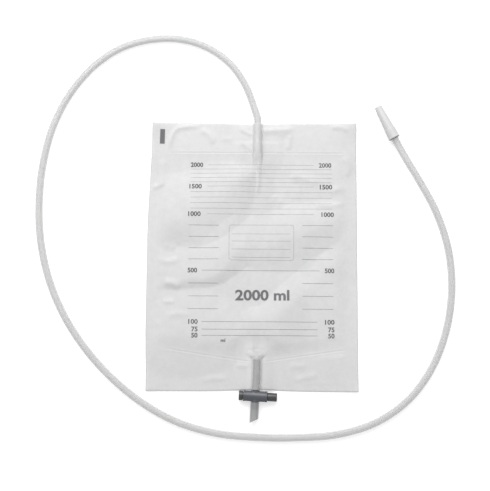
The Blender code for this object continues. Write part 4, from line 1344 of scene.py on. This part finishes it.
waist_from = middle_rib + RIB_WIDTH / 2 + 0.4 * MM
waist_to = last_rib - RIB_WIDTH / 2 - 0.4 * MM
thumb = BARREL_HALF + PLUNGER_STAND
plunger_profile = [
    (0, knob_out + KNOB_DISH, 0), (0.62 * KNOB_R, knob_out + KNOB_DISH, 0.4 * MM),
    (0.76 * KNOB_R, knob_out, 0.3 * MM), (KNOB_R, knob_out, 0.45 * MM), (KNOB_R, knob_in, 0.3 * MM),
    (shaft_r, knob_in, 0.0),
] + rib(first_rib) + rib(middle_rib) + [
    (shaft_r, waist_from, 0.1 * MM), (WAIST_R, waist_from + 0.4 * MM, 0.1 * MM),
    (WAIST_R, waist_to - 0.4 * MM, 0.1 * MM), (shaft_r, waist_to, 0.1 * MM),
] + rib(last_rib) + [
    (shaft_r, BARREL_HALF + 0.05 * MM, 0), (bore_fit, BARREL_HALF + 0.45 * MM, 0.15 * MM),
    (bore_fit, thumb, 0.5 * MM), (0.6 * bore_fit, thumb, 0.2 * MM),
    (0.5 * bore_fit, thumb - 0.35 * MM, 0.2 * MM), (0, thumb - 0.35 * MM, 0),
]
tap_plunger = piece_from("tap_plunger", spun(rounded(plunger_profile), "x"), knob_grey)
settle_in_tap(tap_plunger)
dress(tap_plunger, "plunger", "valve_plunger", "plunger_grey")

# %% [markdown]
# ## Connector and cap
#
# The tube ends in a stepped connector that is pushed into a catheter. Until then a pale tapered cap
# covers it. Both are turned shapes on one axis, which leans 26.8 degrees from the bag's length.

# %% Pale moulded finish, cap and connector
CAP_LENGTH = 36.2 * MM
CAP_MOUTH_R = 5.7 * MM
CAP_TIP_R = 3.7 * MM
CAP_GRIP = 10 * MM
CAP_GRIP_R = 5.5 * MM
CAP_RIM = 0.3 * MM
CAP_RIM_WIDTH = 1.4 * MM
CAP_WALL = 0.7 * MM
CONNECTOR_LENGTH = 25 * MM
CONNECTOR_BORE = 1.6 * MM
CONNECTOR_STEP = 0.3 * MM
CONNECTOR_STEPS = 3
COLLAR_WIDTH = 2 * MM

pale_plastic = Finish("pale_plastic")
pale_plastic.surface(pale_plastic.noise(180), (0.66, 0.71), (700, 0.3, 0.44), (1500, 2, 0.012 * MM))


def cap_inner(along):
    """Inside radius of the cap at this distance from its mouth."""
    return CAP_MOUTH_R - CAP_WALL - (CAP_MOUTH_R - CAP_TIP_R) * along / CAP_LENGTH


def capped(name, profile):
    """A pale piece spun from its profile along y from the cap's mouth, put where the cap lies."""
    points, faces = spun(profile, "y")
    mouth = (CAP_MOUTH[0], BAG_LOW + CAP_MOUTH[1], CAP_Z)
    return piece_from(name, (turned(points, CAP_HEADING, mouth), faces), pale_plastic)


rim = CAP_MOUTH_R + CAP_RIM
bottom = CAP_LENGTH - 1.5 * CAP_WALL
above_grip = CAP_GRIP + 1.5 * CAP_RIM
cap_profile = rounded([
    (0, CAP_LENGTH, 0), (CAP_TIP_R, CAP_LENGTH, 0.7 * MM),
    (cap_inner(above_grip) + CAP_WALL, above_grip, 0.25 * MM), (CAP_GRIP_R, CAP_GRIP, 0.2 * MM),
    (CAP_MOUTH_R, CAP_RIM_WIDTH + CAP_RIM, 0.3 * MM), (rim, CAP_RIM_WIDTH, 0.12 * MM),
    (rim, 0, 0.25 * MM), (cap_inner(0), 0, 0.15 * MM),
    (cap_inner(bottom), bottom, 0.5 * MM), (0, bottom, 0),
])
connector_start = TUBE_IN_CAP + CLEARANCE
connector_tip = connector_start + CONNECTOR_LENGTH
step = (CONNECTOR_LENGTH - COLLAR_WIDTH) / CONNECTOR_STEPS
collar_r = cap_inner(connector_start + COLLAR_WIDTH) - CLEARANCE
connector_profile = [
    (CONNECTOR_BORE, connector_tip, 0), (CONNECTOR_BORE, connector_start, 0.1 * MM),
    (collar_r, connector_start, 0.2 * MM), (collar_r, connector_start + COLLAR_WIDTH, 0.2 * MM),
]
for number in range(CONNECTOR_STEPS):
    begin = connector_start + COLLAR_WIDTH + number * step
    radius = cap_inner(begin + step) - CLEARANCE - CONNECTOR_STEP
    connector_profile.append((radius, begin, 0.1 * MM))
    connector_profile.append((radius - CONNECTOR_STEP, begin + step, 0.1 * MM))
connector_profile.append((radius - 2 * CONNECTOR_STEP, connector_tip + CONNECTOR_STEP, 0.1 * MM))
connector_profile.append((CONNECTOR_BORE, connector_tip + CONNECTOR_STEP, 0))

tip_cap = capped("tip_cap", cap_profile)
dress(tip_cap, "cap", "connector_cap", "cap_white")
catheter_tip = capped("catheter_tip", rounded(connector_profile))
dress(catheter_tip, "bag", "tube_connector", "cap_white")
